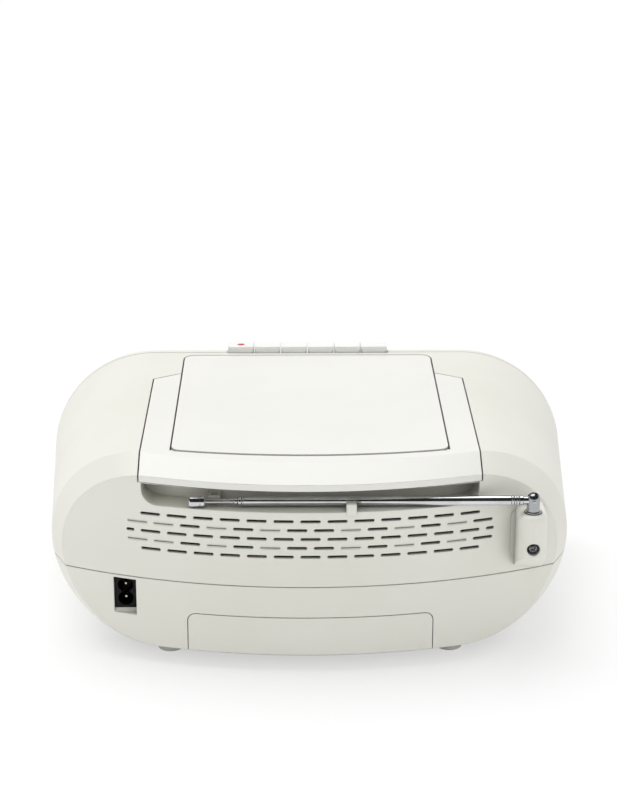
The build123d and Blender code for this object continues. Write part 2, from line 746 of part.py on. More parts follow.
clip_x = (CLIP_X - CLIP_WIDTH / 2, CLIP_X + CLIP_WIDTH / 2)
clip_front_y = AERIAL_Y + AERIAL_RADIUS + SLIP
clip_z = (UNDERSIDE + CLIP_LOW_HEIGHT, UNDERSIDE + CLIP_TOP_HEIGHT)
rest_x = (REST_X - REST_WIDTH / 2, REST_X + REST_WIDTH / 2)
rest_rear_y = AERIAL_Y - AERIAL_RADIUS - SLIP
rest_top = UNDERSIDE + REST_TOP_HEIGHT
rest_web = REST_WIDTH / 4
lip_z = UNDERSIDE + TROUGH_LIP_HEIGHT
screw_z = UNDERSIDE + SCREW_HEIGHT
lug_x = (bay_half - LUG_WIDTH, bay_half - SLIP)
ear_root_z = roof_z(LID_PIVOT_Y) - SHELF_DEPTH - LINER / 2
lug_low = lid_pivot_z - LUG_RADIUS - 2 * SLIP
notch_half = KEY_COUNT * KEY_PITCH / 2 + KEY_GAP / 2
notch_z = UNDERSIDE + KEY_NOTCH_HEIGHT
slot_middle = LENS_INNER_X + LENS_TRAVEL / 2
slot_length = LENS_TRAVEL + 2 * (LENS_RADIUS + 2 * SLIP)

with BuildPart() as upper_cabinet:
    add(outer_form)
    add(inner_form, mode=Mode.SUBTRACT)
    add(well_lining.part)
    add(tower_pad.part)
    add(tower.part)
    add(roof_posts.part)
    stem_z = (tower_top - STEM_LENGTH, tower_top + WALL)
    rod_z(AERIAL_X, AERIAL_Y, STEM_RADIUS + FIT, stem_z, mode=Mode.SUBTRACT)
    add(handle_channel.part, mode=Mode.SUBTRACT)
    add(tip_space.part, mode=Mode.SUBTRACT)
    add(trough_space, mode=Mode.SUBTRACT)
    with BuildSketch(roof(SHELF_DEPTH)):
        add(lid_outline(LID_GAP, HANDLE_REAR_GAP))
    extrude(amount=SHELF_DEPTH + WALL, mode=Mode.SUBTRACT)
    with BuildSketch(roof(BODY_DEPTH / 4)):
        add(lid_outline(bay_half - LID_WIDTH / 2, 0))
        with Locations((0, BAY_REAR_Y + SLIP - BODY_DEPTH / 2)):
            Rectangle(BODY_WIDTH, BODY_DEPTH, mode=Mode.INTERSECT)
    extrude(amount=BODY_DEPTH / 4, mode=Mode.SUBTRACT)
    # Room behind the well for the lid's dipping rear edge, and for its hinge lugs
    dip_x = (-lug_x[1], lug_x[1])
    dip_low = ear_root_z - HANDLE_DEPTH / 2
    slab(dip_x, (LID_PIVOT_Y + SLIP, ear_rear_y + SLIP), (dip_low, ROOF_Z), mode=Mode.SUBTRACT)
    for side in (-1, 1):
        lug_room = sorted((side * (lug_x[0] - SLIP), side * lug_x[1]))
        lug_room_y = (LID_PIVOT_Y - LUG_RADIUS - SLIP, ear_rear_y + SLIP)
        slab(lug_room, lug_room_y, (lug_low, ROOF_Z), mode=Mode.SUBTRACT)
        lid_ear_x = sorted((side * bay_half, side * island_half))
        slab(lid_ear_x, (LID_PIVOT_Y - LID_EAR_RADIUS, ear_rear_y), (ear_root_z, lid_pivot_z))
        rod_x(LID_PIVOT_Y, lid_pivot_z, LID_EAR_RADIUS, lid_ear_x)
        rod_x(LID_PIVOT_Y, lid_pivot_z, LID_PIN_RADIUS + FIT, lid_ear_x, mode=Mode.SUBTRACT)
    pin_reach = handle_half + HANDLE_GAP + LINER
    rod_x(HANDLE_PIVOT_Y, handle_pivot_z, HANDLE_PIN_RADIUS, (-pin_reach, pin_reach), mode=Mode.SUBTRACT)
    # Key notch in the front edge of the roof
    notch_y = (JOINT_Y - WALL, KEY_REAR_Y + KEY_GAP)
    slab((-notch_half, notch_half), notch_y, (notch_z, ROOF_Z + WALL), mode=Mode.SUBTRACT)
    # Vents, open and closed
    extrude(vent_face * vent_outlines(False), amount=REAR_Y - tower_front_y + WALL, mode=Mode.SUBTRACT)
    add(vent_recesses.part, mode=Mode.SUBTRACT)
    # Aerial tower: the screw's recess, and the aerial's clip and rest in the trough
    recess_y = (tower_rear_y - SCREW_RECESS_DEPTH, tower_rear_y + WALL)
    rod_y(AERIAL_X, screw_z, SCREW_RECESS_RADIUS, recess_y, mode=Mode.SUBTRACT)
    rod_y(AERIAL_X, screw_z, PILOT_RADIUS, (recess_y[0] - SCREW_BITE, recess_y[1]), mode=Mode.SUBTRACT)
    slab(clip_x, (clip_front_y, REAR_Y + WALL), (clip_z[0], clip_z[1] + WALL), mode=Mode.SUBTRACT)
    slab(rest_x, (bow_y(rest_x[1], TROUGH_DEPTH + LINER / 2), rest_rear_y), (lip_z - LINER / 2, rest_top))
    rest_slot = (rest_x[0] + rest_web, rest_x[1] - rest_web)
    slot_y = (bow_y(rest_x[0], TROUGH_DEPTH) + rest_web, rest_rear_y - rest_web)
    slab(rest_slot, slot_y, (lip_z, rest_top + WALL), mode=Mode.SUBTRACT)
    slab(rest_slot, (slot_y[0], rest_rear_y + WALL), (lip_z, AERIAL_Z - SLIP), mode=Mode.SUBTRACT)
    for spot in post_spots:
        rod_z(*spot, PILOT_RADIUS, (SEAM_Z - WALL, SEAM_Z + SCREW_BITE), mode=Mode.SUBTRACT)
    add(grooves.part, mode=Mode.SUBTRACT)
    split(bisect_by=Plane.XY.offset(SEAM_Z), keep=Keep.TOP)

with BuildPart() as antenna_clip:
    slab(clip_x, (clip_front_y, bow_y(clip_x[0], 0) + PAD_PROUD / 2), clip_z)
    fillet(antenna_clip.edges().filter_by(Axis.X).group_by(Axis.Z)[-1], PAD_PROUD)

# Lid, with its hinge lugs and latch
with BuildPart() as cd_lid:
    with BuildSketch(roof(LID_THICKNESS)):
        add(lid_outline(0, 0))
    extrude(amount=LID_THICKNESS)
    for side in (-1, 1):
        lug_span = sorted((side * lug_x[0], side * lug_x[1]))
        rod_x(LID_PIVOT_Y, lid_pivot_z, LUG_RADIUS, lug_span)
        clear_x = sorted((side * lug_x[1], side * (LID_WIDTH / 2 + WALL)))
        rod_x(LID_PIVOT_Y, lid_pivot_z, LID_EAR_RADIUS + SLIP, clear_x, mode=Mode.SUBTRACT)
        trunnion_x = sorted((side * lug_x[0], side * (island_half - SLIP)))
        rod_x(LID_PIVOT_Y, lid_pivot_z, LID_PIN_RADIUS, trunnion_x)
    latch_y = LID_FRONT_Y + LATCH_INSET
    with BuildSketch(roof(LATCH_DEPTH)):
        with Locations((0, latch_y)):
            Rectangle(LATCH_WIDTH, LATCH_THICKNESS)
    extrude(amount=LATCH_DEPTH - LID_THICKNESS)
    with BuildSketch(roof(LATCH_DEPTH)):
        with Locations((0, latch_y - LATCH_THICKNESS / 2)):
            Rectangle(LATCH_WIDTH, 2 * LATCH_THICKNESS)
    extrude(amount=LATCH_THICKNESS)

# Well moulding under the lid: flange, dished floor, turntable hole, pickup slot, motor boss and rod posts
with BuildPart() as well_tray:
    with BuildSketch(roof(SHELF_DEPTH)):
        add(lid_outline(LID_GAP - SLIP, 0))
        with Locations((0, BAY_REAR_Y - BODY_DEPTH / 2)):
            Rectangle(BODY_WIDTH, BODY_DEPTH, mode=Mode.INTERSECT)
    extrude(amount=SHELF_DEPTH - LID_THICKNESS - SLIP)
    with BuildSketch(roof(SHELF_DEPTH + WELL_WALL)):
        add(lid_outline(bay_half - SLIP - LID_WIDTH / 2, 0))
        with Locations((0, BAY_REAR_Y - BODY_DEPTH / 2)):
            Rectangle(BODY_WIDTH, BODY_DEPTH, mode=Mode.INTERSECT)
        with Locations((0, WELL_CENTRE_Y)):
            Circle(WELL_RADIUS, mode=Mode.SUBTRACT)
    extrude(amount=WELL_WALL)
    with BuildSketch(roof(WELL_DEPTH + WELL_WALL)):
        with Locations((0, WELL_CENTRE_Y)):
            Circle(WELL_RADIUS + WELL_WALL)
    extrude(amount=WELL_DEPTH + WELL_WALL - SHELF_DEPTH)
    with BuildSketch(roof(WELL_DEPTH)):
        with Locations((0, WELL_CENTRE_Y)):
            Circle(WELL_RADIUS)
    extrude(amount=WELL_DEPTH, mode=Mode.SUBTRACT)
    with BuildSketch(roof(WELL_DEPTH + WELL_WALL)):
        with Locations((0, WELL_CENTRE_Y)):
            Circle(HUB_RADIUS + 2 * SLIP)
        with Locations((slot_middle, WELL_CENTRE_Y)):
            SlotOverall(slot_length, 2 * (LENS_RADIUS + 2 * SLIP))
    extrude(amount=WELL_WALL, mode=Mode.SUBTRACT)
    with BuildSketch(roof(SHELF_DEPTH + WELL_WALL)):
        with Locations((0, latch_y - LATCH_THICKNESS / 2)):
            Rectangle(LATCH_WIDTH + 2 * SLIP, 2 * LATCH_THICKNESS + 2 * SLIP)
    extrude(amount=SHELF_DEPTH + WELL_WALL, mode=Mode.SUBTRACT)

# Disc drive hung under the well: all of it lies square to the roof
floor_depth = WELL_DEPTH + WELL_WALL
rod_depth = floor_depth + ROD_DROP
sled_reach = SLED_LENGTH / 2 + SLIP
rod_span = (LENS_INNER_X - sled_reach - ROD_POST, LENS_INNER_X + LENS_TRAVEL + sled_reach + ROD_POST)


def drive(depth):
    """Roof-parallel plane, depth below the roof, with its origin on the disc's axis."""
    level = roof(depth)
    return Plane(level.from_local_coords((0, WELL_CENTRE_Y, 0)), x_dir=level.x_dir, z_dir=level.z_dir)


def drive_rods(radius, span, mode=Mode.ADD):
    """Round bars or bores along X at the two pickup rods, in the block being built."""
    level = drive(rod_depth)
    start = Plane(level.from_local_coords((span[0], 0, 0)), x_dir=level.y_dir, z_dir=level.x_dir)
    with BuildSketch(start) as discs:
        with Locations((-ROD_SPREAD, 0), (ROD_SPREAD, 0)):
            Circle(radius)
    extrude(discs.sketch, amount=span[1] - span[0], mode=mode)


with BuildPart() as rod_posts:
    inner_post = (rod_span[0] + ROD_POST / 2, floor_depth)
    outer_post = (rod_span[1] - ROD_POST / 2, SHELF_DEPTH)
    for post_x, root_depth in (inner_post, outer_post):
        with BuildSketch(drive(root_depth)):
            with Locations((post_x, -ROD_SPREAD), (post_x, ROD_SPREAD)):
                Rectangle(ROD_POST, 2 * ROD_POST)
        extrude(amount=root_depth - rod_depth - ROD_POST)
    drive_rods(ROD_RADIUS, rod_span, mode=Mode.SUBTRACT)

with BuildPart() as cd_bay:
    add(well_tray.part)
    add(rod_posts.part)

with BuildPart() as pickup_rods:
    drive_rods(ROD_RADIUS, rod_span)

with BuildPart() as pickup_sled:
    with BuildSketch(drive(rod_depth + SLED_THICKNESS / 2)):
        with Locations((LENS_INNER_X, 0)):
            Rectangle(SLED_LENGTH, 2 * (ROD_SPREAD + ROD_POST))
    extrude(amount=SLED_THICKNESS)
    with BuildSketch(drive(rod_depth - SLED_THICKNESS / 2)):
        with Locations((LENS_INNER_X, 0)):
            Circle(LENS_RADIUS)
    extrude(amount=rod_depth - SLED_THICKNESS / 2 - WELL_DEPTH + LENS_HEIGHT)
    fillet(pickup_sled.edges().group_by(Axis.Z)[-1], LENS_HEIGHT / 2)
    drive_rods(ROD_RADIUS + FIT, rod_span, mode=Mode.SUBTRACT)

with BuildPart() as cd_motor:
    with BuildSketch(drive(floor_depth + MOTOR_HEIGHT)):
        Circle(MOTOR_RADIUS)
    extrude(amount=MOTOR_HEIGHT)
    with BuildSketch(drive(floor_depth)):
        Circle(MOTOR_NECK_RADIUS)
    extrude(amount=WELL_WALL)
    with BuildSketch(drive(floor_depth + MOTOR_HEIGHT / 2)):
        Circle(MOTOR_SHAFT_RADIUS + FIT)
    extrude(amount=MOTOR_HEIGHT, mode=Mode.SUBTRACT)

with BuildPart() as cd_turntable:
    with BuildSketch(drive(floor_depth + MOTOR_HEIGHT / 2 - SLIP)):
        Circle(MOTOR_SHAFT_RADIUS)
    extrude(amount=floor_depth + MOTOR_HEIGHT / 2 - WELL_DEPTH)
    with BuildSketch(drive(WELL_DEPTH - SLIP)):
        Circle(HUB_RADIUS)
    extrude(amount=WELL_DEPTH - SLIP - HUB_TOP_DEPTH)
    with BuildSketch(drive(HUB_TOP_DEPTH)):
        Circle(HUB_CAP_RADIUS)
    extrude(amount=HUB_CAP)
    fillet(cd_turntable.edges().group_by(Axis.Z)[-1], HUB_CAP / 2)

# Lower cabinet: shell with the battery bay, the inlet's sleeve, posts and pedestals
bay_half_width = BATTERY_BAY_WIDTH / 2
bay_ceiling = FLOOR_Z + BATTERY_BAY_HEIGHT
board_z = bay_ceiling + WALL + BOARD_STAND
inlet_low = UNDERSIDE + INLET_LOW_HEIGHT
inlet_top = UNDERSIDE + INLET_TOP_HEIGHT
inlet_floor = inlet_low + INLET_RAMP


def corners(middle_x, middle_y, width, depth):
    """The four corners of a rectangle."""
    return [(middle_x + i * width / 2, middle_y + j * depth / 2) for i in (-1, 1) for j in (-1, 1)]


def door_form(grow):
    """The battery door: the cabinet's skin over the bay's rear and underside, with rounded top corners."""
    top = UNDERSIDE + DOOR_HEIGHT + grow
    low = UNDERSIDE - WALL
    with BuildPart() as form:
        add(outer_form)
        add(inner_form if grow == 0 else cabinet_form(WALL + SLIP), mode=Mode.SUBTRACT)
        with BuildSketch(vent_face) as outline:
            with Locations((0, (top + low) / 2)):
                Rectangle(DOOR_WIDTH + 2 * grow, top - low)
            fillet(outline.vertices().group_by(Axis.Z)[-1], DOOR_CORNER + grow)
        extrude(amount=REAR_Y + WALL - DOOR_FRONT_Y + grow, mode=Mode.INTERSECT)
    return form.part


transformer_spots = corners(
    TRANSFORMER_X, TRANSFORMER_Y, TRANSFORMER_WIDTH - 2 * HOLE_INSET, TRANSFORMER_DEPTH - 2 * HOLE_INSET
)
board_spots = corners(0, BOARD_Y, BOARD_WIDTH - 2 * HOLE_INSET, BOARD_DEPTH - 2 * HOLE_INSET)


with BuildPart() as lower_lining:
    slab(
        (-bay_half_width - WALL, bay_half_width + WALL),
        (BATTERY_BAY_FRONT_Y - WALL, REAR_Y),
        (UNDERSIDE, bay_ceiling + WALL),
    )
    sleeve_x = (inlet_x[0] - INLET_SLEEVE, inlet_x[1] + INLET_SLEEVE)
    slab(sleeve_x, (inlet_back_y, REAR_Y), (inlet_low - INLET_SLEEVE, inlet_top + INLET_SLEEVE))
    for spot in post_spots:
        rod_z(*spot, POST_RADIUS, (UNDERSIDE, SEAM_Z))
    for spot in transformer_spots:
        rod_z(*spot, STAND_RADIUS, (UNDERSIDE, TRANSFORMER_LOW))
    add(outer_form, mode=Mode.INTERSECT)

with BuildPart() as bay_space:
    slab((-bay_half_width, bay_half_width), (BATTERY_BAY_FRONT_Y, REAR_Y), (FLOOR_Z, bay_ceiling))
    add(inner_form, mode=Mode.INTERSECT)

with BuildPart() as lower_cabinet:
    add(outer_form)
    add(inner_form, mode=Mode.SUBTRACT)
    add(lower_lining.part)
    for spot in board_spots:
        rod_z(*spot, STAND_RADIUS, (bay_ceiling + WALL, board_z))
    add(bay_space.part, mode=Mode.SUBTRACT)
    add(door_form(DOOR_GAP), mode=Mode.SUBTRACT)
    slab(inlet_x, (inlet_back_y - WALL, REAR_Y), (inlet_low, inlet_top), mode=Mode.SUBTRACT)
    with BuildSketch(Plane.YZ.offset(inlet_x[0])):
        Polygon(
            (inlet_back_y, inlet_low),
            (bow_y(inlet_x[1], 0), inlet_low),
            (inlet_face_y, inlet_floor),
            (inlet_back_y, inlet_floor),
            align=None,
        )
    extrude(amount=INLET_WIDTH)
    for spot in post_spots:
        rod_z(*spot, SCREW_RADIUS, (0, SEAM_Z), mode=Mode.SUBTRACT)
        rod_z(*spot, SCREW_HEAD_RADIUS + SLIP, (0, SEAM_Z - SCREW_SEAT), mode=Mode.SUBTRACT)
    add(grooves.part, mode=Mode.SUBTRACT)
    split(bisect_by=Plane.XY.offset(SEAM_Z), keep=Keep.BOTTOM)

with BuildPart() as case_screws:
    rod_y(AERIAL_X, screw_z, SCREW_HEAD_RADIUS, (recess_y[0], recess_y[0] + SCREW_HEAD))
    rod_y(AERIAL_X, screw_z, PILOT_RADIUS, (recess_y[0] - SCREW_BITE, recess_y[0]))
    for spot in post_spots:
        head_z = SEAM_Z - SCREW_SEAT
        rod_z(*spot, SCREW_HEAD_RADIUS, (head_z - SCREW_HEAD, head_z))
        rod_z(*spot, PILOT_RADIUS, (head_z, SEAM_Z + SCREW_BITE))

with BuildPart() as battery_door:
    add(door_form(0))

with BuildPart() as battery_contacts:
    contact_z = (FLOOR_Z + SLIP, bay_ceiling)
    for i in range(CELL_ROWS):
        contact_y = BATTERY_BAY_FRONT_Y + CELL_PITCH * (i + 0.5)
        for side in (-1, 1):
            plate_x = sorted((side * bay_half_width, side * (bay_half_width - CONTACT_THICKNESS)))
            slab(plate_x, (contact_y - CONTACT_WIDTH / 2, contact_y + CONTACT_WIDTH / 2), contact_z)
        side = 1 if i % 2 else -1
        plate = side * (bay_half_width - CONTACT_THICKNESS)
        spring = side * (bay_half_width - CONTACT_SPRING)
        radii = (CONTACT_WIDTH / 3, CONTACT_WIDTH / 6)
        if side > 0:
            cone_x(contact_y, sum(contact_z) / 2, radii[::-1], (spring, plate))
        else:
            cone_x(contact_y, sum(contact_z) / 2, radii, (plate, spring))

with BuildPart() as ac_inlet:
    block_z = (inlet_floor, inlet_top)
    slab(inlet_x, (inlet_back_y, inlet_face_y), block_z)
    with BuildSketch(Plane.XZ.offset(-inlet_face_y)):
        lobes_z = (inlet_floor + inlet_top) / 2
        with Locations((INLET_X, lobes_z - SOCKET_PIN_PITCH / 2), (INLET_X, lobes_z + SOCKET_PIN_PITCH / 2)):
            Circle(SOCKET_LOBE_RADIUS)
        with Locations((INLET_X, lobes_z)):
            Rectangle(SOCKET_LOBE_RADIUS, SOCKET_PIN_PITCH)
    extrude(amount=SOCKET_DEPTH, mode=Mode.SUBTRACT)

with BuildPart() as ac_pins:
    pin_y = (inlet_face_y - SOCKET_DEPTH, inlet_face_y - 2 * SOCKET_PIN_RADIUS)
    for side in (-1, 1):
        rod_y(INLET_X, lobes_z + side * SOCKET_PIN_PITCH / 2, SOCKET_PIN_RADIUS, pin_y)

with BuildPart() as feet:
    for spot in FOOT_SPOTS:
        rod_z(*spot, FOOT_RADIUS, (0, FOOT_HEIGHT))
    fillet(feet.edges().group_by(Axis.Z)[0], FOOT_HEIGHT / 3)

with BuildPart() as power_transformer:
    with Locations((TRANSFORMER_X, TRANSFORMER_Y, TRANSFORMER_LOW + TRANSFORMER_SIZE / 2)):
        Box(TRANSFORMER_WIDTH, TRANSFORMER_DEPTH, TRANSFORMER_SIZE)
        Box(
            TRANSFORMER_WIDTH - 2 * TRANSFORMER_FRAME,
            TRANSFORMER_DEPTH + 2 * TRANSFORMER_FRAME,
            TRANSFORMER_SIZE - 2 * TRANSFORMER_FRAME,
        )

with BuildPart() as main_board:
    slab(
        (-BOARD_WIDTH / 2, BOARD_WIDTH / 2),
        (BOARD_Y - BOARD_DEPTH / 2, BOARD_Y + BOARD_DEPTH / 2),
        (board_z, board_z + BOARD_THICKNESS),
    )

# Aerial
knuckle_low = tower_top + FLANGE_THICKNESS
knuckle_top = UNDERSIDE + KNUCKLE_TOP_HEIGHT

with BuildPart() as antenna_swivel:
    rod_z(AERIAL_X, AERIAL_Y, STEM_RADIUS, (tower_top - STEM_LENGTH + SLIP, knuckle_low))
    rod_z(AERIAL_X, AERIAL_Y, FLANGE_RADIUS, (tower_top + FIT, knuckle_low))
    rod_z(AERIAL_X, AERIAL_Y, KNUCKLE_RADIUS, (knuckle_low, knuckle_top))
    fillet(antenna_swivel.edges().group_by(Axis.Z)[-1], KNUCKLE_RADIUS - SLIP)
    slot_half = TONGUE_THICKNESS / 2 + FIT
    slab(
        (AERIAL_X - TONGUE_RADIUS - SLIP, AERIAL_X + FLANGE_RADIUS + WALL),
        (AERIAL_Y - slot_half, AERIAL_Y + slot_half),
        (AERIAL_Z - TONGUE_RADIUS - SLIP, knuckle_top + WALL),
        mode=Mode.SUBTRACT,
    )
    rod_y(AERIAL_X, AERIAL_Z, AERIAL_PIN_RADIUS, (AERIAL_Y - slot_half, AERIAL_Y + slot_half))

collar_x = AERIAL_ROOT_X - AERIAL_RING
bore_radius = AERIAL_RADIUS - AERIAL_WALL

with BuildPart() as antenna_tube:
    with BuildSketch(Plane.XZ.offset(-AERIAL_Y - TONGUE_THICKNESS / 2)):
        with Locations((AERIAL_X, AERIAL_Z)):
            Circle(TONGUE_RADIUS)
        with Locations(((AERIAL_X + collar_x) / 2, AERIAL_Z)):
            Rectangle(collar_x - AERIAL_X, 2 * TONGUE_RADIUS)
        with Locations((AERIAL_X, AERIAL_Z)):
            Circle(AERIAL_PIN_RADIUS + FIT, mode=Mode.SUBTRACT)
    extrude(amount=TONGUE_THICKNESS)
    rod_x(AERIAL_Y, AERIAL_Z, AERIAL_RADIUS, (collar_x, AERIAL_END_X))
    rod_x(AERIAL_Y, AERIAL_Z, bore_radius, (AERIAL_ROOT_X + AERIAL_RING, AERIAL_END_X), mode=Mode.SUBTRACT)

stage_parts = []
for stage in range(1, 4):
    outer = AERIAL_RADIUS - stage * (AERIAL_WALL + FIT)
    end_x = AERIAL_END_X + stage * AERIAL_RING
    last = stage == 3
    with BuildPart() as antenna_stage:
        rod_x(AERIAL_Y, AERIAL_Z, outer, (AERIAL_STAGE_START_X, AERIAL_TIP_START_X if last else end_x))
        rod_x(AERIAL_Y, AERIAL_Z, outer + AERIAL_WALL, (end_x - AERIAL_RING + FIT, end_x))
        if last:
            rod_x(AERIAL_Y, AERIAL_Z, AERIAL_TIP_RADIUS, (AERIAL_TIP_START_X, AERIAL_TIP_X))
            fillet(antenna_stage.edges().group_by(Axis.X)[-1], AERIAL_WALL)
        else:
            bore = outer - AERIAL_WALL
            rod_x(AERIAL_Y, AERIAL_Z, bore, (AERIAL_STAGE_START_X, end_x), mode=Mode.SUBTRACT)
    stage_parts.append(antenna_stage)

# Front panel: shell with speaker holes, cassette opening, control bay, knob wells and the deck's posts
panel_outer = panel_form(0)
speaker_z = UNDERSIDE + SPEAKER_HEIGHT
door_pivot_y = FRONT_Y + CASSETTE_BEAD
door_pivot_z = UNDERSIDE + CASSETTE_DOOR_LOW + CASSETTE_BEAD
door_top = UNDERSIDE + CASSETTE_DOOR_TOP
door_half = CASSETTE_DOOR_WIDTH / 2
ear_x = (door_half + 2 * SLIP, door_half + 2 * SLIP + PIN_EAR)
pin_reach_x = ear_x[1] - KEY_ROUNDING
bay_floor_y = FRONT_Y + CONTROL_RECESS
bay_back_y = bay_floor_y + WALL
knob_z = UNDERSIDE + KNOB_HEIGHT
knob_floor_y = FRONT_Y + KNOB_RECESS
button_z = UNDERSIDE + BUTTON_HEIGHT
button_x = [(i - (BUTTON_COUNT - 1) / 2) * BUTTON_PITCH for i in range(BUTTON_COUNT)]
display_z = (UNDERSIDE + DISPLAY_LOW, UNDERSIDE + DISPLAY_TOP)
switch_z = UNDERSIDE + SWITCH_HEIGHT
switch_x = SWITCH_X - SWITCH_TRAVEL / 2
deck_posts = corners(0, (DECK_POST_LOW + DECK_POST_TOP) / 2, 2 * DECK_POST_X, DECK_POST_TOP - DECK_POST_LOW)


def turned_y(profile, x, y, z, mode=Mode.ADD):
    """A solid turned about an axis along Y from (radius, depth) points, depth running rearwards from y."""
    with BuildSketch(Plane(origin=(x, y, z))) as half_section:
        Polygon(*profile, align=None)
    revolve(half_section.sketch, axis=Axis((x, y, z), (0, 1, 0)), mode=mode)


with BuildPart() as front_panel:
    add(panel_outer)
    add(panel_form(WALL), mode=Mode.SUBTRACT)
    bay_x = (-CONTROL_HALF - WALL, CONTROL_HALF + WALL)
    slab(bay_x, (PANEL_BACK_Y, bay_back_y), (CONTROL_LOW - WALL, CONTROL_TOP + CONTROL_RIM))
    switch_bay_x = (SWITCH_X - SWITCH_BAY, SWITCH_X + SWITCH_BAY)
    slab(switch_bay_x, (PANEL_BACK_Y, bay_back_y), (switch_z - WALL, switch_z + WALL))
    for side in (-1, 1):
        rod_y(side * KNOB_X, knob_z, KNOB_WELL_RADIUS + KNOB_WALL, (PANEL_BACK_Y, knob_floor_y + KNOB_WALL))
        ear = sorted((side * ear_x[0], side * ear_x[1]))
        slab(ear, (PANEL_BACK_Y, door_pivot_y + PIN_EAR), (door_pivot_z - PIN_EAR, door_pivot_z + PIN_EAR))
    for post_x, post_z in deck_posts:
        rod_y(post_x, post_z, DECK_POST_RADIUS, (PANEL_BACK_Y, DECK_Y))
    slab(
        (-door_half - 2 * SLIP, door_half + 2 * SLIP),
        (FRONT_Y - WALL, JOINT_Y),
        (door_pivot_z - CASSETTE_BEAD - 2 * SLIP, door_top + 2 * SLIP),
        mode=Mode.SUBTRACT,
    )
    recess_z = (CONTROL_LOW, CONTROL_TOP)
    slab((-CONTROL_HALF, CONTROL_HALF), (FRONT_Y - WALL, bay_floor_y), recess_z, mode=Mode.SUBTRACT)
    slab(
        (SWITCH_X - SWITCH_BAY + WALL, SWITCH_X + SWITCH_BAY - WALL),
        (FRONT_Y - WALL, bay_floor_y),
        (switch_z - SWITCH_CAP / 2 - SLIP, switch_z + SWITCH_CAP / 2 + SLIP),
        mode=Mode.SUBTRACT,
    )
    slab(
        (switch_x - SWITCH_STEM - SLIP, switch_x + SWITCH_TRAVEL + SWITCH_STEM + SLIP),
        (FRONT_Y, bay_back_y),
        (switch_z - SWITCH_STEM / 2 - SLIP, switch_z + SWITCH_STEM / 2 + SLIP),
        mode=Mode.SUBTRACT,
    )
    slab((-DISPLAY_WIDTH / 2, DISPLAY_WIDTH / 2), (FRONT_Y, bay_back_y), display_z, mode=Mode.SUBTRACT)
    for x in button_x:
        slab(
            (x - BUTTON_WIDTH / 2 - SLIP, x + BUTTON_WIDTH / 2 + SLIP),
            (FRONT_Y, bay_back_y),
            (button_z - BUTTON_DROP / 2 - SLIP, button_z + BUTTON_DROP / 2 + SLIP),
            mode=Mode.SUBTRACT,
        )
    for side in (-1, 1):
        skin_y = (FRONT_Y - WALL, PANEL_BACK_Y)
        rod_y(side * SPEAKER_X, speaker_z, GRILLE_RADIUS + SLIP, skin_y, mode=Mode.SUBTRACT)
        rod_y(side * KNOB_X, knob_z, KNOB_WELL_RADIUS, (FRONT_Y - WALL, knob_floor_y), mode=Mode.SUBTRACT)
        rod_y(side * KNOB_X, knob_z, KNOB_SHAFT_RADIUS + SLIP, (FRONT_Y, DECK_Y), mode=Mode.SUBTRACT)
    pin_x = (-pin_reach_x, pin_reach_x)
    rod_x(door_pivot_y, door_pivot_z, CASSETTE_PIN_RADIUS + FIT, pin_x, mode=Mode.SUBTRACT)
    panel_y = (FRONT_Y - WALL, JOINT_Y)
    slab((-notch_half, notch_half), panel_y, (notch_z, ROOF_Z + WALL), mode=Mode.SUBTRACT)

# Speakers: slotted grille, basket with its magnet, paper cone
cone_edge = GRILLE_RADIUS - BASKET_METAL
cone_roll = GRILLE_RADIUS - GRILLE_RIM - BASKET_METAL
cone_back = BASKET_METAL + CONE_DEPTH
basket_profile = [
    (GRILLE_RADIUS - GRILLE_RIM, 0),
    (GRILLE_RADIUS + GRILLE_RIM, 0),
    (GRILLE_RADIUS + GRILLE_RIM, BASKET_METAL),
    (GRILLE_RADIUS + BASKET_METAL, BASKET_METAL),
    (BASKET_NECK, BASKET_DEPTH),
    (BASKET_NECK, BASKET_DEPTH + BASKET_METAL),
    (MAGNET_RADIUS, BASKET_DEPTH + BASKET_METAL),
    (MAGNET_RADIUS, BASKET_DEPTH + MAGNET_DEPTH),
    (0, BASKET_DEPTH + MAGNET_DEPTH),
    (0, BASKET_DEPTH),
    (BASKET_NECK - BASKET_METAL, BASKET_DEPTH),
    (GRILLE_RADIUS, BASKET_METAL),
    (GRILLE_RADIUS - GRILLE_RIM, BASKET_METAL),
]
cone_profile = [
    (cone_edge, BASKET_METAL),
    (cone_roll, BASKET_METAL),
    (CONE_NECK, cone_back),
    (0, cone_back - CONE_DOME),
    (0, cone_back - CONE_DOME + CONE_PAPER),
    (CONE_NECK, cone_back + CONE_PAPER),
    (cone_roll, BASKET_METAL + CONE_PAPER),
    (cone_edge, BASKET_METAL + CONE_PAPER),
]
speaker_pieces = {}

for name, side in (("left", -1), ("right", 1)):
    with BuildPart() as grille:
        rod_y(side * SPEAKER_X, speaker_z, GRILLE_RADIUS, (FRONT_Y, PANEL_BACK_Y))
        with BuildSketch(Plane.XZ.offset(-PANEL_BACK_Y)) as slots:
            with Locations((side * SPEAKER_X, speaker_z)):
                with GridLocations(0, 2 * GRILLE_RADIUS / (GRILLE_SLOTS + 1), 1, GRILLE_SLOTS):
                    Rectangle(2 * GRILLE_RADIUS, GRILLE_SLOT)
                Circle(GRILLE_RADIUS - GRILLE_RIM, mode=Mode.INTERSECT)
        extrude(amount=WALL, mode=Mode.SUBTRACT)
    with BuildPart() as basket:
        turned_y(basket_profile, side * SPEAKER_X, PANEL_BACK_Y, speaker_z)
    with BuildPart() as cone:
        turned_y(cone_profile, side * SPEAKER_X, PANEL_BACK_Y, speaker_z)
    speaker_pieces[f"{name}_grille"] = grille
    speaker_pieces[f"{name}_speaker"] = basket
    speaker_pieces[f"{name}_cone"] = cone

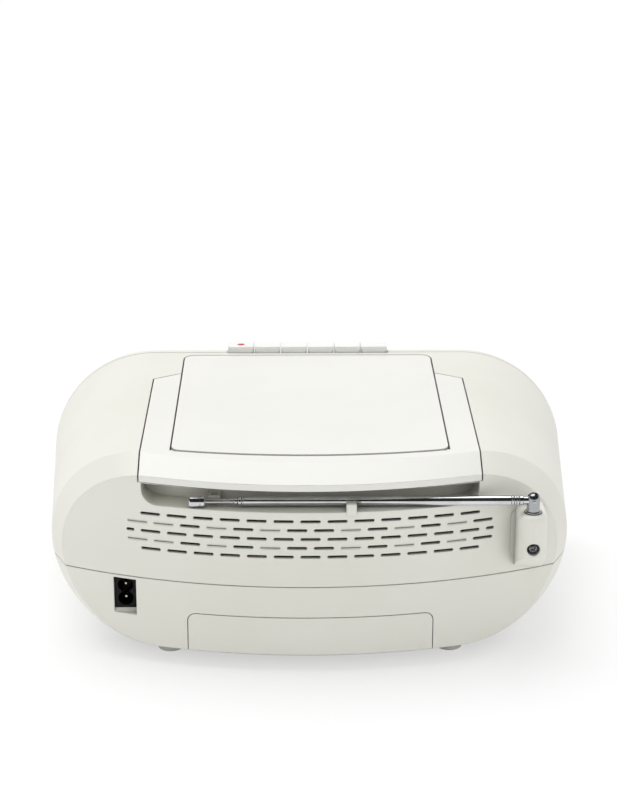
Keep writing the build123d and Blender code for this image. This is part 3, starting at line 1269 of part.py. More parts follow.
# Cassette door: plate with a hinge bead, side walls, shelf and lips that hold the cassette, and a window
pocket_rear = PANEL_BACK_Y + CASSETTE_POCKET
window_z = (UNDERSIDE + WINDOW_LOW, UNDERSIDE + WINDOW_TOP)
shelf_top = door_pivot_z + CASSETTE_SHELF
cassette_top = shelf_top + CASSETTE_HEIGHT
guide_half = CASSETTE_WIDTH / 2 + SLIP / 2
guide_top = door_pivot_z + CASSETTE_GUIDE

with BuildPart() as cassette_door:
    rod_x(door_pivot_y, door_pivot_z, CASSETTE_BEAD, (-door_half, door_half))
    slab((-door_half, door_half), (FRONT_Y, PANEL_BACK_Y), (door_pivot_z, door_top))
    slab((-guide_half, guide_half), (PANEL_BACK_Y, pocket_rear), (shelf_top - CASSETTE_SKIN, shelf_top))
    for side in (-1, 1):
        wall_x = sorted((side * guide_half, side * (guide_half + CASSETTE_SKIN)))
        slab(wall_x, (PANEL_BACK_Y, pocket_rear + CASSETTE_SKIN), (shelf_top - CASSETTE_SKIN, guide_top))
        lip_x = sorted((side * (guide_half - CASSETTE_LIP), side * (guide_half + CASSETTE_SKIN)))
        slab(lip_x, (pocket_rear, pocket_rear + CASSETTE_SKIN), (shelf_top - CASSETTE_SKIN, guide_top))
    rod_x(door_pivot_y, door_pivot_z, CASSETTE_PIN_RADIUS, (-pin_reach_x + SLIP, pin_reach_x - SLIP))
    slab((-WINDOW_WIDTH / 2, WINDOW_WIDTH / 2), (FRONT_Y - WALL, PANEL_BACK_Y), window_z, mode=Mode.SUBTRACT)

with BuildPart() as cassette_window:
    slab((-WINDOW_WIDTH / 2, WINDOW_WIDTH / 2), (FRONT_Y + SLIP, PANEL_BACK_Y), window_z)

# Cassette deck behind the door
deck_rear = DECK_Y + DECK_THICKNESS
spindle_z = UNDERSIDE + SPINDLE_HEIGHT
capstan_z = UNDERSIDE + CAPSTAN_HEIGHT
shaft_z = UNDERSIDE + KEY_SHAFT_HEIGHT
roller_z = cassette_top + SLIP + ROLLER_RADIUS
motor_z = UNDERSIDE + TAPE_MOTOR_HEIGHT
belt_angle = atan2(capstan_z - motor_z, CAPSTAN_X - TAPE_MOTOR_X)
motor_post = (-MOTOR_POST_REACH * sin(belt_angle), MOTOR_POST_REACH * cos(belt_angle))
motor_front = FLYWHEEL_Y[1] + SLIP

with BuildPart() as cassette_deck:
    deck_y = (DECK_Y, deck_rear)
    slab((-DECK_HALF, DECK_HALF), deck_y, (DECK_LOW, DECK_TOP))
    for side in (-1, 1):
        ear = sorted((side * (SHAFT_HALF - DECK_THICKNESS), side * SHAFT_HALF))
        ear_rear = KEY_SHAFT_Y + 2 * KEY_SHAFT_RADIUS
        slab(ear, (DECK_Y, ear_rear), (DECK_TOP - 2 * PIN_EAR, shaft_z + 2 * KEY_SHAFT_RADIUS))
        rod_y(side * STUD_X, STUD_Z, STUD_RADIUS, (DECK_Y - STUD_LENGTH, DECK_Y))
        rod_y(side * SPINDLE_SPACING / 2, spindle_z, SPINDLE_RADIUS + FIT, deck_y, mode=Mode.SUBTRACT)
        post = (TAPE_MOTOR_X + side * motor_post[0], motor_z + side * motor_post[1])
        rod_y(*post, MOTOR_POST_RADIUS, (deck_rear, motor_front))
    rod_x(KEY_SHAFT_Y, shaft_z, KEY_SHAFT_RADIUS, (-SHAFT_HALF, SHAFT_HALF), mode=Mode.SUBTRACT)
    rod_y(CAPSTAN_X, capstan_z, CAPSTAN_RADIUS + FIT, deck_y, mode=Mode.SUBTRACT)

with BuildPart() as key_shaft:
    rod_x(KEY_SHAFT_Y, shaft_z, KEY_SHAFT_RADIUS, (-SHAFT_HALF, SHAFT_HALF))

spindle_pieces = {}
for name, side in (("supply", -1), ("takeup", 1)):
    with BuildPart() as spindle:
        x = side * SPINDLE_SPACING / 2
        rod_y(x, spindle_z, SPINDLE_RADIUS, (SPINDLE_TIP_Y, deck_rear + SLIP))
        rod_y(x, spindle_z, SPINDLE_DISC, (deck_rear + SLIP, deck_rear + SLIP + SPINDLE_PLATE))
        spline_end = DECK_Y - SPLINE_END
        with Locations(Location((x, (SPINDLE_TIP_Y + spline_end) / 2, spindle_z), (90, 0, 0))):
            with PolarLocations(SPINDLE_RADIUS, 3):
                Box(SPINDLE_SPLINE, SPINDLE_SPLINE, spline_end - SPINDLE_TIP_Y)
    spindle_pieces[f"{name}_spindle"] = spindle

with BuildPart() as flywheel:
    rod_y(CAPSTAN_X, capstan_z, FLYWHEEL_RADIUS, FLYWHEEL_Y)
    rod_y(CAPSTAN_X, capstan_z, CAPSTAN_RADIUS, (SPINDLE_TIP_Y, FLYWHEEL_Y[0]))

shaft_room = (motor_front, motor_front + TAPE_MOTOR_LENGTH / 2)

with BuildPart() as motor_pulley:
    rod_y(TAPE_MOTOR_X, motor_z, PULLEY_RADIUS, FLYWHEEL_Y)
    rod_y(TAPE_MOTOR_X, motor_z, MOTOR_SHAFT_RADIUS, (FLYWHEEL_Y[1], shaft_room[1] - SLIP))

with BuildPart() as tape_motor:
    rod_y(TAPE_MOTOR_X, motor_z, TAPE_MOTOR_RADIUS, (motor_front, motor_front + TAPE_MOTOR_LENGTH))
    rod_y(TAPE_MOTOR_X, motor_z, MOTOR_SHAFT_RADIUS + FIT, shaft_room, mode=Mode.SUBTRACT)

with BuildPart() as drive_belt:
    belt_y = sum(FLYWHEEL_Y) / 2
    for grow, mode in ((FIT + BELT, Mode.ADD), (FIT, Mode.SUBTRACT)):
        with BuildSketch(Plane.XZ.offset(-belt_y - BELT)) as loop:
            with Locations((CAPSTAN_X, capstan_z)):
                Circle(FLYWHEEL_RADIUS + grow)
            with Locations((TAPE_MOTOR_X, motor_z)):
                Circle(PULLEY_RADIUS + grow)
            make_hull()
        extrude(loop.sketch, amount=2 * BELT, mode=mode)

# Head carriage: plate that drops with the play key, carrying head and pinch roller
carriage_y = (DECK_Y - SLIP - DECK_THICKNESS, DECK_Y - SLIP)
carriage_z = (cassette_top - CARRIAGE_DROP, roller_z + 2 * CARRIAGE_PIN)
head_z = (cassette_top + SLIP, roller_z + CARRIAGE_PIN)

with BuildPart() as head_carriage:
    slab((-CARRIAGE_HALF, CARRIAGE_HALF), carriage_y, carriage_z)
    rod_y(CAPSTAN_X, roller_z, CARRIAGE_PIN, (SPINDLE_TIP_Y, carriage_y[0]))
    for hole_x, hole_z, radius in (
        (STUD_X, STUD_Z, STUD_RADIUS),
        (-STUD_X, STUD_Z, STUD_RADIUS),
        (CAPSTAN_X, capstan_z, CAPSTAN_RADIUS),
    ):
        hole = radius + SLIP
        slot_z = (hole_z - hole, hole_z + HEAD_TRAVEL + hole)
        slab((hole_x - hole, hole_x + hole), carriage_y, slot_z, mode=Mode.SUBTRACT)

with BuildPart() as tape_head:
    slab((-HEAD_HALF, HEAD_HALF), (SPINDLE_TIP_Y, carriage_y[0]), head_z)
    fillet(tape_head.edges().filter_by(Axis.Y).group_by(Axis.Z)[0], HEAD_HALF / 3)

with BuildPart() as pinch_roller:
    roller_y = (SPINDLE_TIP_Y + SLIP, carriage_y[0] - SLIP)
    rod_y(CAPSTAN_X, roller_z, ROLLER_RADIUS, roller_y)
    rod_y(CAPSTAN_X, roller_z, CARRIAGE_PIN + FIT, roller_y, mode=Mode.SUBTRACT)

# Piano keys on their shaft
key_names = ("key_pause", "key_stop_eject", "key_fast_forward", "key_rewind", "key_play", "key_record")
key_pieces = {}
for i, name in enumerate(key_names):
    key_x = (i - (KEY_COUNT - 1) / 2) * KEY_PITCH
    half = (KEY_PITCH - KEY_GAP) / 2
    with BuildPart() as key:
        slab(
            (key_x - half, key_x + half),
            (KEY_FRONT_Y, KEY_REAR_Y),
            (shaft_z + KEY_CAP_LIFT, UNDERSIDE + KEY_TOP_HEIGHT),
        )
        fillet(key.edges().group_by(Axis.Z)[-1], KEY_ROUNDING)
        slab(
            (key_x - half, key_x + half),
            (KEY_FRONT_Y, KEY_FRONT_Y + KEY_SKIRT),
            (UNDERSIDE + KEY_SKIRT_HEIGHT, shaft_z + 2 * KEY_LEVER),
        )
        lever_z = (shaft_z - KEY_LEVER / 2, shaft_z + KEY_LEVER / 2)
        lever_x = (key_x - KEY_LEVER_HALF, key_x + KEY_LEVER_HALF)
        hub_x = (lever_x[0] - KEY_LEVER_HALF, lever_x[1] + KEY_LEVER_HALF)
        slab(lever_x, (KEY_FRONT_Y + KEY_SKIRT, KEY_SHAFT_Y), lever_z)
        rod_x(KEY_SHAFT_Y, shaft_z, 2 * KEY_SHAFT_RADIUS, hub_x)
        bore_x = (key_x - KEY_PITCH, key_x + KEY_PITCH)
        rod_x(KEY_SHAFT_Y, shaft_z, KEY_SHAFT_RADIUS + FIT, bore_x, mode=Mode.SUBTRACT)
    key_pieces[name] = key

# Controls under the cassette door
with BuildPart() as display_window:
    slab((-DISPLAY_WIDTH / 2, DISPLAY_WIDTH / 2), (FRONT_Y + DISPLAY_SET, bay_back_y), display_z)

with BuildPart() as lcd_module:
    lcd_z = (display_z[0] - LCD_MARGIN, display_z[1] + LCD_MARGIN)
    lcd_x = DISPLAY_WIDTH / 2 + LCD_MARGIN
    slab((-lcd_x, lcd_x), (bay_back_y, bay_back_y + LCD_DEPTH), lcd_z)

button_pieces = {}
for name, x in zip(("cd_back_button", "cd_play_button", "cd_stop_button", "cd_next_button"), button_x):
    with BuildPart() as button:
        flange_y = bay_back_y + SLIP
        button_z_span = (button_z - BUTTON_DROP / 2, button_z + BUTTON_DROP / 2)
        slab((x - BUTTON_WIDTH / 2, x + BUTTON_WIDTH / 2), (FRONT_Y, flange_y), button_z_span)
        fillet(button.edges().group_by(Axis.Y)[0], KEY_GAP)
        slab(
            (x - BUTTON_WIDTH / 2 - BUTTON_RIM, x + BUTTON_WIDTH / 2 + BUTTON_RIM),
            (flange_y, flange_y + BUTTON_FLANGE),
            (button_z_span[0] - BUTTON_RIM, button_z_span[1] + BUTTON_RIM),
        )
    button_pieces[name] = button

control_y = (knob_floor_y + KNOB_WALL, knob_floor_y + KNOB_WALL + POT_DEPTH)
shaft_y = (control_y[0], control_y[1] - KNOB_WALL)
control_z = (knob_z - KNOB_RADIUS, knob_z + KNOB_RADIUS)

with BuildPart() as rotary_controls:
    for side in (-1, 1):
        slab((side * KNOB_X - KNOB_RADIUS, side * KNOB_X + KNOB_RADIUS), control_y, control_z)
        rod_y(side * KNOB_X, knob_z, KNOB_SHAFT_RADIUS + FIT, shaft_y, mode=Mode.SUBTRACT)

knob_pieces = {}
for name, side in (("volume_knob", 1), ("tuning_knob", -1)):
    with BuildPart() as knob:
        rod_y(side * KNOB_X, knob_z, KNOB_RADIUS, (FRONT_Y, knob_floor_y - SLIP))
        fillet(knob.edges().group_by(Axis.Y)[0], KNOB_ROUNDING)
        if name == "volume_knob":
            mark_x = (side * KNOB_X - KNOB_MARK / 2, side * KNOB_X + KNOB_MARK / 2)
            slab(mark_x, (FRONT_Y, FRONT_Y + KNOB_MARK_DEPTH), (knob_z, control_z[1]), mode=Mode.SUBTRACT)
        else:
            with Locations((side * KNOB_X, FRONT_Y, knob_z + KNOB_RADIUS / 2)):
                Sphere(KNOB_RADIUS / 4, mode=Mode.SUBTRACT)
        rod_y(side * KNOB_X, knob_z, KNOB_SHAFT_RADIUS, (knob_floor_y - SLIP, shaft_y[1] - SLIP))
    knob_pieces[name] = knob

with BuildPart() as function_switch:
    cap_z = (switch_z - SWITCH_CAP / 2, switch_z + SWITCH_CAP / 2)
    cap_x = (switch_x - SWITCH_CAP, switch_x + SWITCH_CAP)
    slab(cap_x, (FRONT_Y, bay_floor_y - SLIP), cap_z)
    stem_z = (switch_z - SWITCH_STEM / 2, switch_z + SWITCH_STEM / 2)
    slab((switch_x - SWITCH_STEM, switch_x + SWITCH_STEM), (bay_floor_y - SLIP, bay_back_y + SLIP), stem_z)
    slab(cap_x, (bay_back_y + SLIP, bay_back_y + SLIP + BUTTON_FLANGE), cap_z)

pieces = {
    "upper_cabinet": upper_cabinet,
    "lower_cabinet": lower_cabinet,
    "handle": handle,
    "handle_pins": handle_pins,
    "antenna_clip": antenna_clip,
    "antenna_swivel": antenna_swivel,
    "antenna_tube": antenna_tube,
    "cd_lid": cd_lid,
    "cd_bay": cd_bay,
    "cd_turntable": cd_turntable,
    "cd_motor": cd_motor,
    "pickup_sled": pickup_sled,
    "pickup_rods": pickup_rods,
    "battery_door": battery_door,
    "battery_contacts": battery_contacts,
    "ac_inlet": ac_inlet,
    "ac_pins": ac_pins,
    "feet": feet,
    "case_screws": case_screws,
    "power_transformer": power_transformer,
    "main_board": main_board,
    "front_panel": front_panel,
    "cassette_door": cassette_door,
    "cassette_window": cassette_window,
    "cassette_deck": cassette_deck,
    "key_shaft": key_shaft,
    "flywheel": flywheel,
    "motor_pulley": motor_pulley,
    "tape_motor": tape_motor,
    "drive_belt": drive_belt,
    "head_carriage": head_carriage,
    "tape_head": tape_head,
    "pinch_roller": pinch_roller,
    "display_window": display_window,
    "lcd_module": lcd_module,
    "rotary_controls": rotary_controls,
    "function_switch": function_switch,
    **speaker_pieces,
    **spindle_pieces,
    **key_pieces,
    **button_pieces,
    **knob_pieces,
}
for stage, piece in enumerate(stage_parts, start=2):
    pieces[f"antenna_stage_{stage}"] = piece

os.makedirs("parts", exist_ok=True)
for name, piece in pieces.items():
    piece.part.label = name
    export_step(piece.part, f"parts/{name}.step")
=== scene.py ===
"""Portable CD radio cassette player: its finishes, its fine details, the studio and the camera.

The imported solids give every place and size. This script dresses them and adds what is too fine for
solids. Lengths are metres, +Z is up and +Y points to the rear; sizes in millimetres pass through mm().
"""
import json
import logging
import math
from collections.abc import Sequence
from dataclasses import dataclass
from enum import Enum

import bpy
from mathutils import Matrix, Vector

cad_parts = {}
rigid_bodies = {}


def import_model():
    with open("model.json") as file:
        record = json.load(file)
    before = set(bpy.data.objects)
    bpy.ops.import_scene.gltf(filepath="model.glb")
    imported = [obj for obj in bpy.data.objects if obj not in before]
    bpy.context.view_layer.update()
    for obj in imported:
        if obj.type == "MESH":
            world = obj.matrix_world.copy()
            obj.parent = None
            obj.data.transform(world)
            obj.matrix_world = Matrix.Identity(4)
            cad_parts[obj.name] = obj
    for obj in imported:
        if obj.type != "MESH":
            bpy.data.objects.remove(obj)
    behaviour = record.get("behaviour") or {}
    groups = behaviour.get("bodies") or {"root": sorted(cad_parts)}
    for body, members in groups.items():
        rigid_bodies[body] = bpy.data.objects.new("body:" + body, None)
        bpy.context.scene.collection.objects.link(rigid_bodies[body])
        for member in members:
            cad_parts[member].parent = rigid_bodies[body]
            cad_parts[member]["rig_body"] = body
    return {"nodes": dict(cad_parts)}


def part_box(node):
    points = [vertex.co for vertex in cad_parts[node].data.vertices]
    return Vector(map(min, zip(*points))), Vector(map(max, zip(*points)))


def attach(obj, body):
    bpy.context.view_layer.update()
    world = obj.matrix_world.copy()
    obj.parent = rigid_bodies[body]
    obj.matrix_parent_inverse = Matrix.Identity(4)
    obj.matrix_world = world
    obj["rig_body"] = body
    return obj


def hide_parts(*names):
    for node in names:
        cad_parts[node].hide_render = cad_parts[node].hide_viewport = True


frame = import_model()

LOG = logging.getLogger("player")
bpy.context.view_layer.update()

Tree = bpy.types.NodeTree
Socket = bpy.types.NodeSocket
Piece = bpy.types.Object
Pieces = list[Piece]
Point = tuple[float, float]
Place = tuple[float, float, float]


def mm(value: float) -> float:
    """Millimetres to metres."""
    return value / 1000


def linear(colour: str) -> tuple[float, float, float, float]:
    """Turns an sRGB hex colour into linear light.

    Args:
        colour: Six hex digits, such as "f4f2ea".

    Returns:
        Red, green, blue and an alpha of 1.
    """
    parts = [int(colour[i:i + 2], 16) / 255 for i in (0, 2, 4)]
    light = [c / 12.92 if c <= 0.04045 else ((c + 0.055) / 1.055) ** 2.4 for c in parts]
    return (light[0], light[1], light[2], 1.0)


def add_node(
    tree: Tree,
    kind: str,
    inputs: dict[str | int, object] | None = None,
    output: str | int = 0,
    **settings: object,
) -> Socket:
    """Adds a shader node.

    Args:
        tree: The material's or world's node tree.
        kind: The node's class name.
        inputs: Input names or numbers, each with its value or the socket that feeds it.
        output: The wanted output's name or number.
        settings: The node's own properties.

    Returns:
        The wanted output.
    """
    node = tree.nodes.new(kind)
    for key, value in settings.items():
        setattr(node, key, value)
    for key, value in (inputs or {}).items():
        if isinstance(value, Socket):
            tree.links.new(value, node.inputs[key])
        else:
            node.inputs[key].default_value = value
    return node.outputs[output]


def clouded(
    tree: Tree, at: Socket, colours: tuple[str, str], clouds: dict[str, float], span: Point
) -> Socket:
    """Mixes two colours in soft clouds.

    Args:
        tree: The material's node tree.
        at: The place on the piece.
        colours: The main colour and the clouds' colour, as hex digits.
        clouds: The noise's scale, detail and roughness.
        span: The noise where the clouds begin and where their colour is full.

    Returns:
        The mixed colour.
    """
    noise = add_node(tree, "ShaderNodeTexNoise", {"Vector": at, **clouds})
    share = add_node(tree, "ShaderNodeMapRange", {"Value": noise, "From Min": span[0], "From Max": span[1]})
    mix = {0: share, 6: linear(colours[0]), 7: linear(colours[1])}
    return add_node(tree, "ShaderNodeMix", mix, 2, data_type="RGBA")


@dataclass(frozen=True)
class Finish:
    """What every finish has: a name and a way to make its material once."""

    name: str

    def material(self) -> bpy.types.Material:
        """The finish's material, made on first use."""
        return bpy.data.materials.get(self.name) or self.make()

    def make(self) -> bpy.types.Material:
        """Makes the material round its surface.

        Returns:
            The material.
        """
        material = bpy.data.materials.new(self.name)
        material.use_nodes = True
        tree = material.node_tree
        tree.nodes.clear()
        output = tree.nodes.new("ShaderNodeOutputMaterial")
        surface = self.surface(tree, add_node(tree, "ShaderNodeTexCoord", output="Object"))
        tree.links.new(surface, output.inputs["Surface"])
        return material

    def surface(self, tree: Tree, at: Socket) -> Socket:
        """Adds the surface's nodes.

        Args:
            tree: The material's node tree.
            at: The place on the piece.

        Returns:
            The shader.
        """
        raise NotImplementedError


@dataclass(frozen=True)
class MouldedPlastic(Finish):
    """Injection-moulded plastic: even colour, fine tool grain, rubbed edges and painted shade in its gaps.
    """

    colour: str
    shade: str  # its colour in the faint clouds of handling
    roughness: float = 0.42
    grain: float = 0.8  # mm
    grain_depth: float = 0.012  # mm
    edge: float = 0.5  # radius of its rubbed edges, in mm
    recess: float = 0.5  # share of light that the painted shade in its gaps keeps
    specular: float = 0.5
    gap: float = 14.0  # reach of the painted shade in its gaps, in mm

    def surface(self, tree: Tree, at: Socket) -> Socket:
        """Lays grain, rubbed edges and painted shade in its gaps over a clouded colour.

        Args:
            tree: The material's node tree.
            at: The place on the piece.

        Returns:
            The shader.
        """
        # Real tool grain is 0.1 to 0.3 mm; it is drawn at the size in mm that shows in the render.
        pitted = {"Vector": at, "Scale": 1 / mm(self.grain), "Detail": 2.0}
        grain = add_node(tree, "ShaderNodeTexNoise", pitted)
        clouds = {"Scale": 9.0, "Detail": 3.0, "Roughness": 0.6}
        body = clouded(tree, at, (self.colour, self.shade), clouds, (0.35, 0.75))
        soft = add_node(tree, "ShaderNodeBevel", {"Radius": mm(self.edge)}, samples=4)
        flat = add_node(tree, "ShaderNodeNewGeometry", output="Normal")
        bend = add_node(tree, "ShaderNodeVectorMath", {0: soft, 1: flat}, "Value", operation="DOT_PRODUCT")
        wear = {"Value": bend, "From Min": 0.995, "From Max": 0.8, "To Min": 0.0, "To Max": 0.5}
        worn = add_node(tree, "ShaderNodeMapRange", wear)
        rubbed = {0: worn, 6: body, 7: linear(self.colour)}
        clean = add_node(tree, "ShaderNodeMix", rubbed, 2, data_type="RGBA")
        # Painted shade: ambient occlusion darkens the colour in gaps and recesses, where shade falls.
        hollow = add_node(tree, "ShaderNodeAmbientOcclusion", {"Distance": mm(self.gap)}, "AO", samples=6)
        dust = {"Value": hollow, "From Min": 0.2, "From Max": 0.8, "To Min": self.recess, "To Max": 1.0}
        gap_shaded = {0: 1.0, 6: clean, 7: add_node(tree, "ShaderNodeMapRange", dust)}
        colour = add_node(tree, "ShaderNodeMix", gap_shaded, 2, data_type="RGBA", blend_type="MULTIPLY")
        low, high = self.roughness - 0.04, self.roughness + 0.05
        sheen = {"Value": grain, "From Min": 0.3, "From Max": 0.7, "To Min": low, "To Max": high}
        relief = {"Height": grain, "Normal": soft, "Strength": 0.35, "Distance": mm(self.grain_depth)}
        look = {
            "Base Color": colour,
            "Roughness": add_node(tree, "ShaderNodeMapRange", sheen),
            "Normal": add_node(tree, "ShaderNodeBump", relief),
            "Specular IOR Level": self.specular,
            "IOR": 1.53,
        }
        return add_node(tree, "ShaderNodeBsdfPrincipled", look)


@dataclass(frozen=True)
class PlatedMetal(Finish):
    """Drawn, turned or rolled metal, bright or brushed, with lines that run along one axis."""

    colour: str
    tarnish: str  # its colour in the haze of handling
    roughness: float = 0.12
    line: float = 0.25  # distance between its lines, in mm
    along: Place = (0.02, 1.0, 1.0)  # a low share draws the lines out along that axis
    relief: float = 0.002  # height of the lines, in mm
    edge: float = 0.2  # radius of its broken edges, in mm

    def surface(self, tree: Tree, at: Socket) -> Socket:
        """Draws fine lines over a hazed metal.

        Args:
            tree: The material's node tree.
            at: The place on the piece.

        Returns:
            The shader.
        """
        drawn = add_node(tree, "ShaderNodeMapping", {"Vector": at, "Scale": self.along})
        strands = {"Vector": drawn, "Scale": 1 / mm(self.line), "Detail": 2.0}
        lines = add_node(tree, "ShaderNodeTexNoise", strands)
        soft = add_node(tree, "ShaderNodeBevel", {"Radius": mm(self.edge)}, samples=4)
        low, high = self.roughness * 0.7, self.roughness * 1.4
        gloss = {"Value": lines, "From Min": 0.3, "From Max": 0.7, "To Min": low, "To Max": high}
        relief = {"Height": lines, "Normal": soft, "Strength": 0.4, "Distance": mm(self.relief)}
        haze = {"Scale": 60.0, "Detail": 4.0}
        look = {
            "Base Color": clouded(tree, at, (self.colour, self.tarnish), haze, (0.45, 0.8)),
            "Metallic": 1.0,
            "Roughness": add_node(tree, "ShaderNodeMapRange", gloss),
            "Normal": add_node(tree, "ShaderNodeBump", relief),
        }
        return add_node(tree, "ShaderNodeBsdfPrincipled", look)


@dataclass(frozen=True)
class ClearPane(Finish):
    """Clear moulded pane: smooth, faintly tinted, with shallow flow waves."""

    colour: str
    tint: float = 0.85  # share of light that refracts through it
    cover: float = 1.0  # its veil over what lies behind; below 1 it lets light straight through

    def surface(self, tree: Tree, at: Socket) -> Socket:
        """Waves a smooth, clear skin.

        Args:
            tree: The material's node tree.
            at: The place on the piece.

        Returns:
            The shader.
        """
        flow = add_node(tree, "ShaderNodeTexNoise", {"Vector": at, "Scale": 45.0})
        waves = {"Height": flow, "Strength": 0.1, "Distance": mm(0.02)}
        look = {
            "Base Color": linear(self.colour),
            "Roughness": 0.04,
            "IOR": 1.49,
            "Transmission Weight": self.tint,
            "Alpha": self.cover,
            "Normal": add_node(tree, "ShaderNodeBump", waves),
        }
        return add_node(tree, "ShaderNodeBsdfPrincipled", look)


@dataclass(frozen=True)
class CastRubber(Finish):
    """Moulded rubber or pressed pulp: dull, with a speckled skin."""

    colour: str
    bloom: str  # its colour where it has bloomed or taken dust
    roughness: float = 0.75
    speck: float = 0.5  # mm

    def surface(self, tree: Tree, at: Socket) -> Socket:
        """Raises specks on a dull, dusted skin.

        Args:
            tree: The material's node tree.
            at: The place on the piece.

        Returns:
            The shader.
        """
        speck = add_node(tree, "ShaderNodeTexVoronoi", {"Vector": at, "Scale": 1 / mm(self.speck)})
        raised = {"Height": speck, "Strength": 0.4, "Distance": mm(0.03)}
        dust = {"Scale": 80.0, "Detail": 4.0}
        look = {
            "Base Color": clouded(tree, at, (self.colour, self.bloom), dust, (0.4, 0.8)),
            "Roughness": self.roughness,
            "IOR": 1.5,
            "Normal": add_node(tree, "ShaderNodeBump", raised),
        }
        return add_node(tree, "ShaderNodeBsdfPrincipled", look)


@dataclass(frozen=True)
class WhitePaper(Finish):
    """White paper sweep: dull and even, so that it takes a soft shadow and no reflection."""

    fibre: float = 400.0
    white: float = 0.55  # how far the camera sees it overexposed to pure white

    def surface(self, tree: Tree, at: Socket) -> Socket:
        """Whitens dull paper where it is seen directly, in a mirror or through a pane.

        Args:
            tree: The material's node tree.
            at: The place on the piece.

        Returns:
            The shader.
        """
        fibre = add_node(tree, "ShaderNodeTexNoise", {"Vector": at, "Scale": self.fibre})
        tone = add_node(tree, "ShaderNodeMapRange", {"Value": fibre, "To Min": 0.85, "To Max": 0.95})
        look = {"Base Color": linear("fdfdfd"), "Specular IOR Level": 0.1, "Roughness": tone}
        paper = add_node(tree, "ShaderNodeBsdfPrincipled", look)
        # A photographer's white ground is overexposed, which leaves only a pale shadow.
        ray = add_node(tree, "ShaderNodeLightPath").node.outputs
        seen = ray["Is Camera Ray"]
        for kind in ("Is Glossy Ray", "Is Transmission Ray"):
            seen = add_node(tree, "ShaderNodeMath", {0: seen, 1: ray[kind]}, operation="MAXIMUM")
        share = add_node(tree, "ShaderNodeMath", {0: seen, 1: self.white}, operation="MULTIPLY")
        white = add_node(tree, "ShaderNodeEmission", {"Color": (1, 1, 1, 1), "Strength": 1.0})
        return add_node(tree, "ShaderNodeMixShader", {0: share, 1: paper, 2: white})


# Every moulded finish darkens its gaps with painted shade; recess is the share of light that this shade
# keeps.
# Shells: warm white styrene whose spark-eroded tool grain breaks highlights into a soft sheen.
WHITE_SHELL = MouldedPlastic("white_styrene_grained", "eeede4", "e8e7dc", edge=0.9, recess=0.62)
# Lid, handle and cassette door: the same styrene from a finer tool, cleaner and a little glossier.
WHITE_LID = MouldedPlastic(
    "white_styrene_satin", "f3f2ec", "eeede6", roughness=0.33, grain_depth=0.006, edge=0.8, recess=0.7
)
# Key caps: polished white styrene, the brightest and smoothest of the whites.
WHITE_KEY = MouldedPlastic(
    "white_styrene_key", "fbfaf7", "f6f5f1", roughness=0.3, grain_depth=0.004, recess=0.95
)
# Knobs, buttons and grilles: mid grey styrene, matt enough that only its edges catch light.
GREY_PLASTIC = MouldedPlastic("grey_styrene", "b9bab8", "acadab", roughness=0.45)
# CD well: pale grey styrene with lighter painted shade, so that it keeps its light deep in the well and
# under the lid's edge.
PALE_GREY = MouldedPlastic("pale_grey_styrene", "d8d7d1", "cecdc6", roughness=0.45, recess=0.75)
# Slide switch: charcoal styrene, almost without a highlight.
DARK_GREY = MouldedPlastic("charcoal_styrene", "3a3b3d", "303133", roughness=0.5)
# Turntable and sled: black nylon with the faint bloom of its glass fibre. The same black makes the ring
# under the aerial swivel's flange, a painted shadow.
BLACK_PLASTIC = MouldedPlastic("black_nylon", "121214", "1b1b1d", roughness=0.38, grain_depth=0.008)
# Red dot of the record key: one thick pass of pad print, smooth and slightly glossy.
RED_INK = MouldedPlastic("red_pad_print", "d01814", "c01412", roughness=0.35, grain_depth=0.002)
# Aerial: chrome on drawn brass tube, a mirror with hairlines along it and sharp dark bands.
CHROME = PlatedMetal("chromed_brass_tube", "d9dadb", "bfc0c2", roughness=0.09)
# Pins, rods and spindles: turned steel whose fine rings spread the highlight round the part.
STEEL = PlatedMetal("turned_steel", "b8b9ba", "9fa0a2", roughness=0.22, along=(1.0, 0.05, 1.0))
# Swivel: tumbled nickel-plated casting, softer and greyer than the tube it holds.
CAST_NICKEL = PlatedMetal("tumbled_nickel_casting", "aeb0b2", "8e9092", roughness=0.2, relief=0.004)
# Tower screw: blackened zinc plate, dim in its deep seat with a small bright crescent.
BLACK_ZINC = PlatedMetal("blackened_zinc_steel", "77787a", "5a5b5d", roughness=0.2)
# Inlet block: glass-filled nylon, nearly black, with hardly any gloss.
INLET_NYLON = MouldedPlastic(
    "glass_filled_nylon", "0d0d0e", "151516", roughness=0.5, grain_depth=0.008, specular=0.2
)
# Inlet pins: nickelled brass, warm and bright against the black block.
PIN_NICKEL = PlatedMetal("nickelled_brass_pin", "d6d2c4", "bdb8a8", roughness=0.2)
# Signs of the keys: grey pad print, readable on white without standing out.
GREY_INK = MouldedPlastic("grey_pad_print", "77797b", "707274", roughness=0.35, grain_depth=0.002)
# Signs of the disc buttons: white pad print on grey.
WHITE_INK = MouldedPlastic("white_pad_print", "eeeeec", "e6e6e4", roughness=0.35, grain_depth=0.002)
# Pickup lens: coated plastic with the blue cast of its coating.
LENS = ClearPane("coated_pickup_lens", "9fb4e6")
# Idle display segments: a shade darker than the glass, seen only close by.
LCD_GHOST = MouldedPlastic("lcd_idle_segment", "87917f", "838d7b", roughness=0.15, grain_depth=0.0)
# Deck plate, motors and long screws: zinc-plated sheet, cool grey with a brushed haze.
ZINC_STEEL = PlatedMetal("zinc_plated_steel", "b4b7b5", "98a09a", roughness=0.32, along=(0.3, 1.0, 1.0))
# Speaker frames and transformer: black enamel with a slight orange peel.
PAINTED_STEEL = MouldedPlastic("black_enamel", "1c1c1e", "252527", roughness=0.3, grain_depth=0.01)
# Belt and pinch roller: black moulded rubber, dull with a fine speckle.
RUBBER = CastRubber("moulded_rubber", "1a1a1a", "242424")
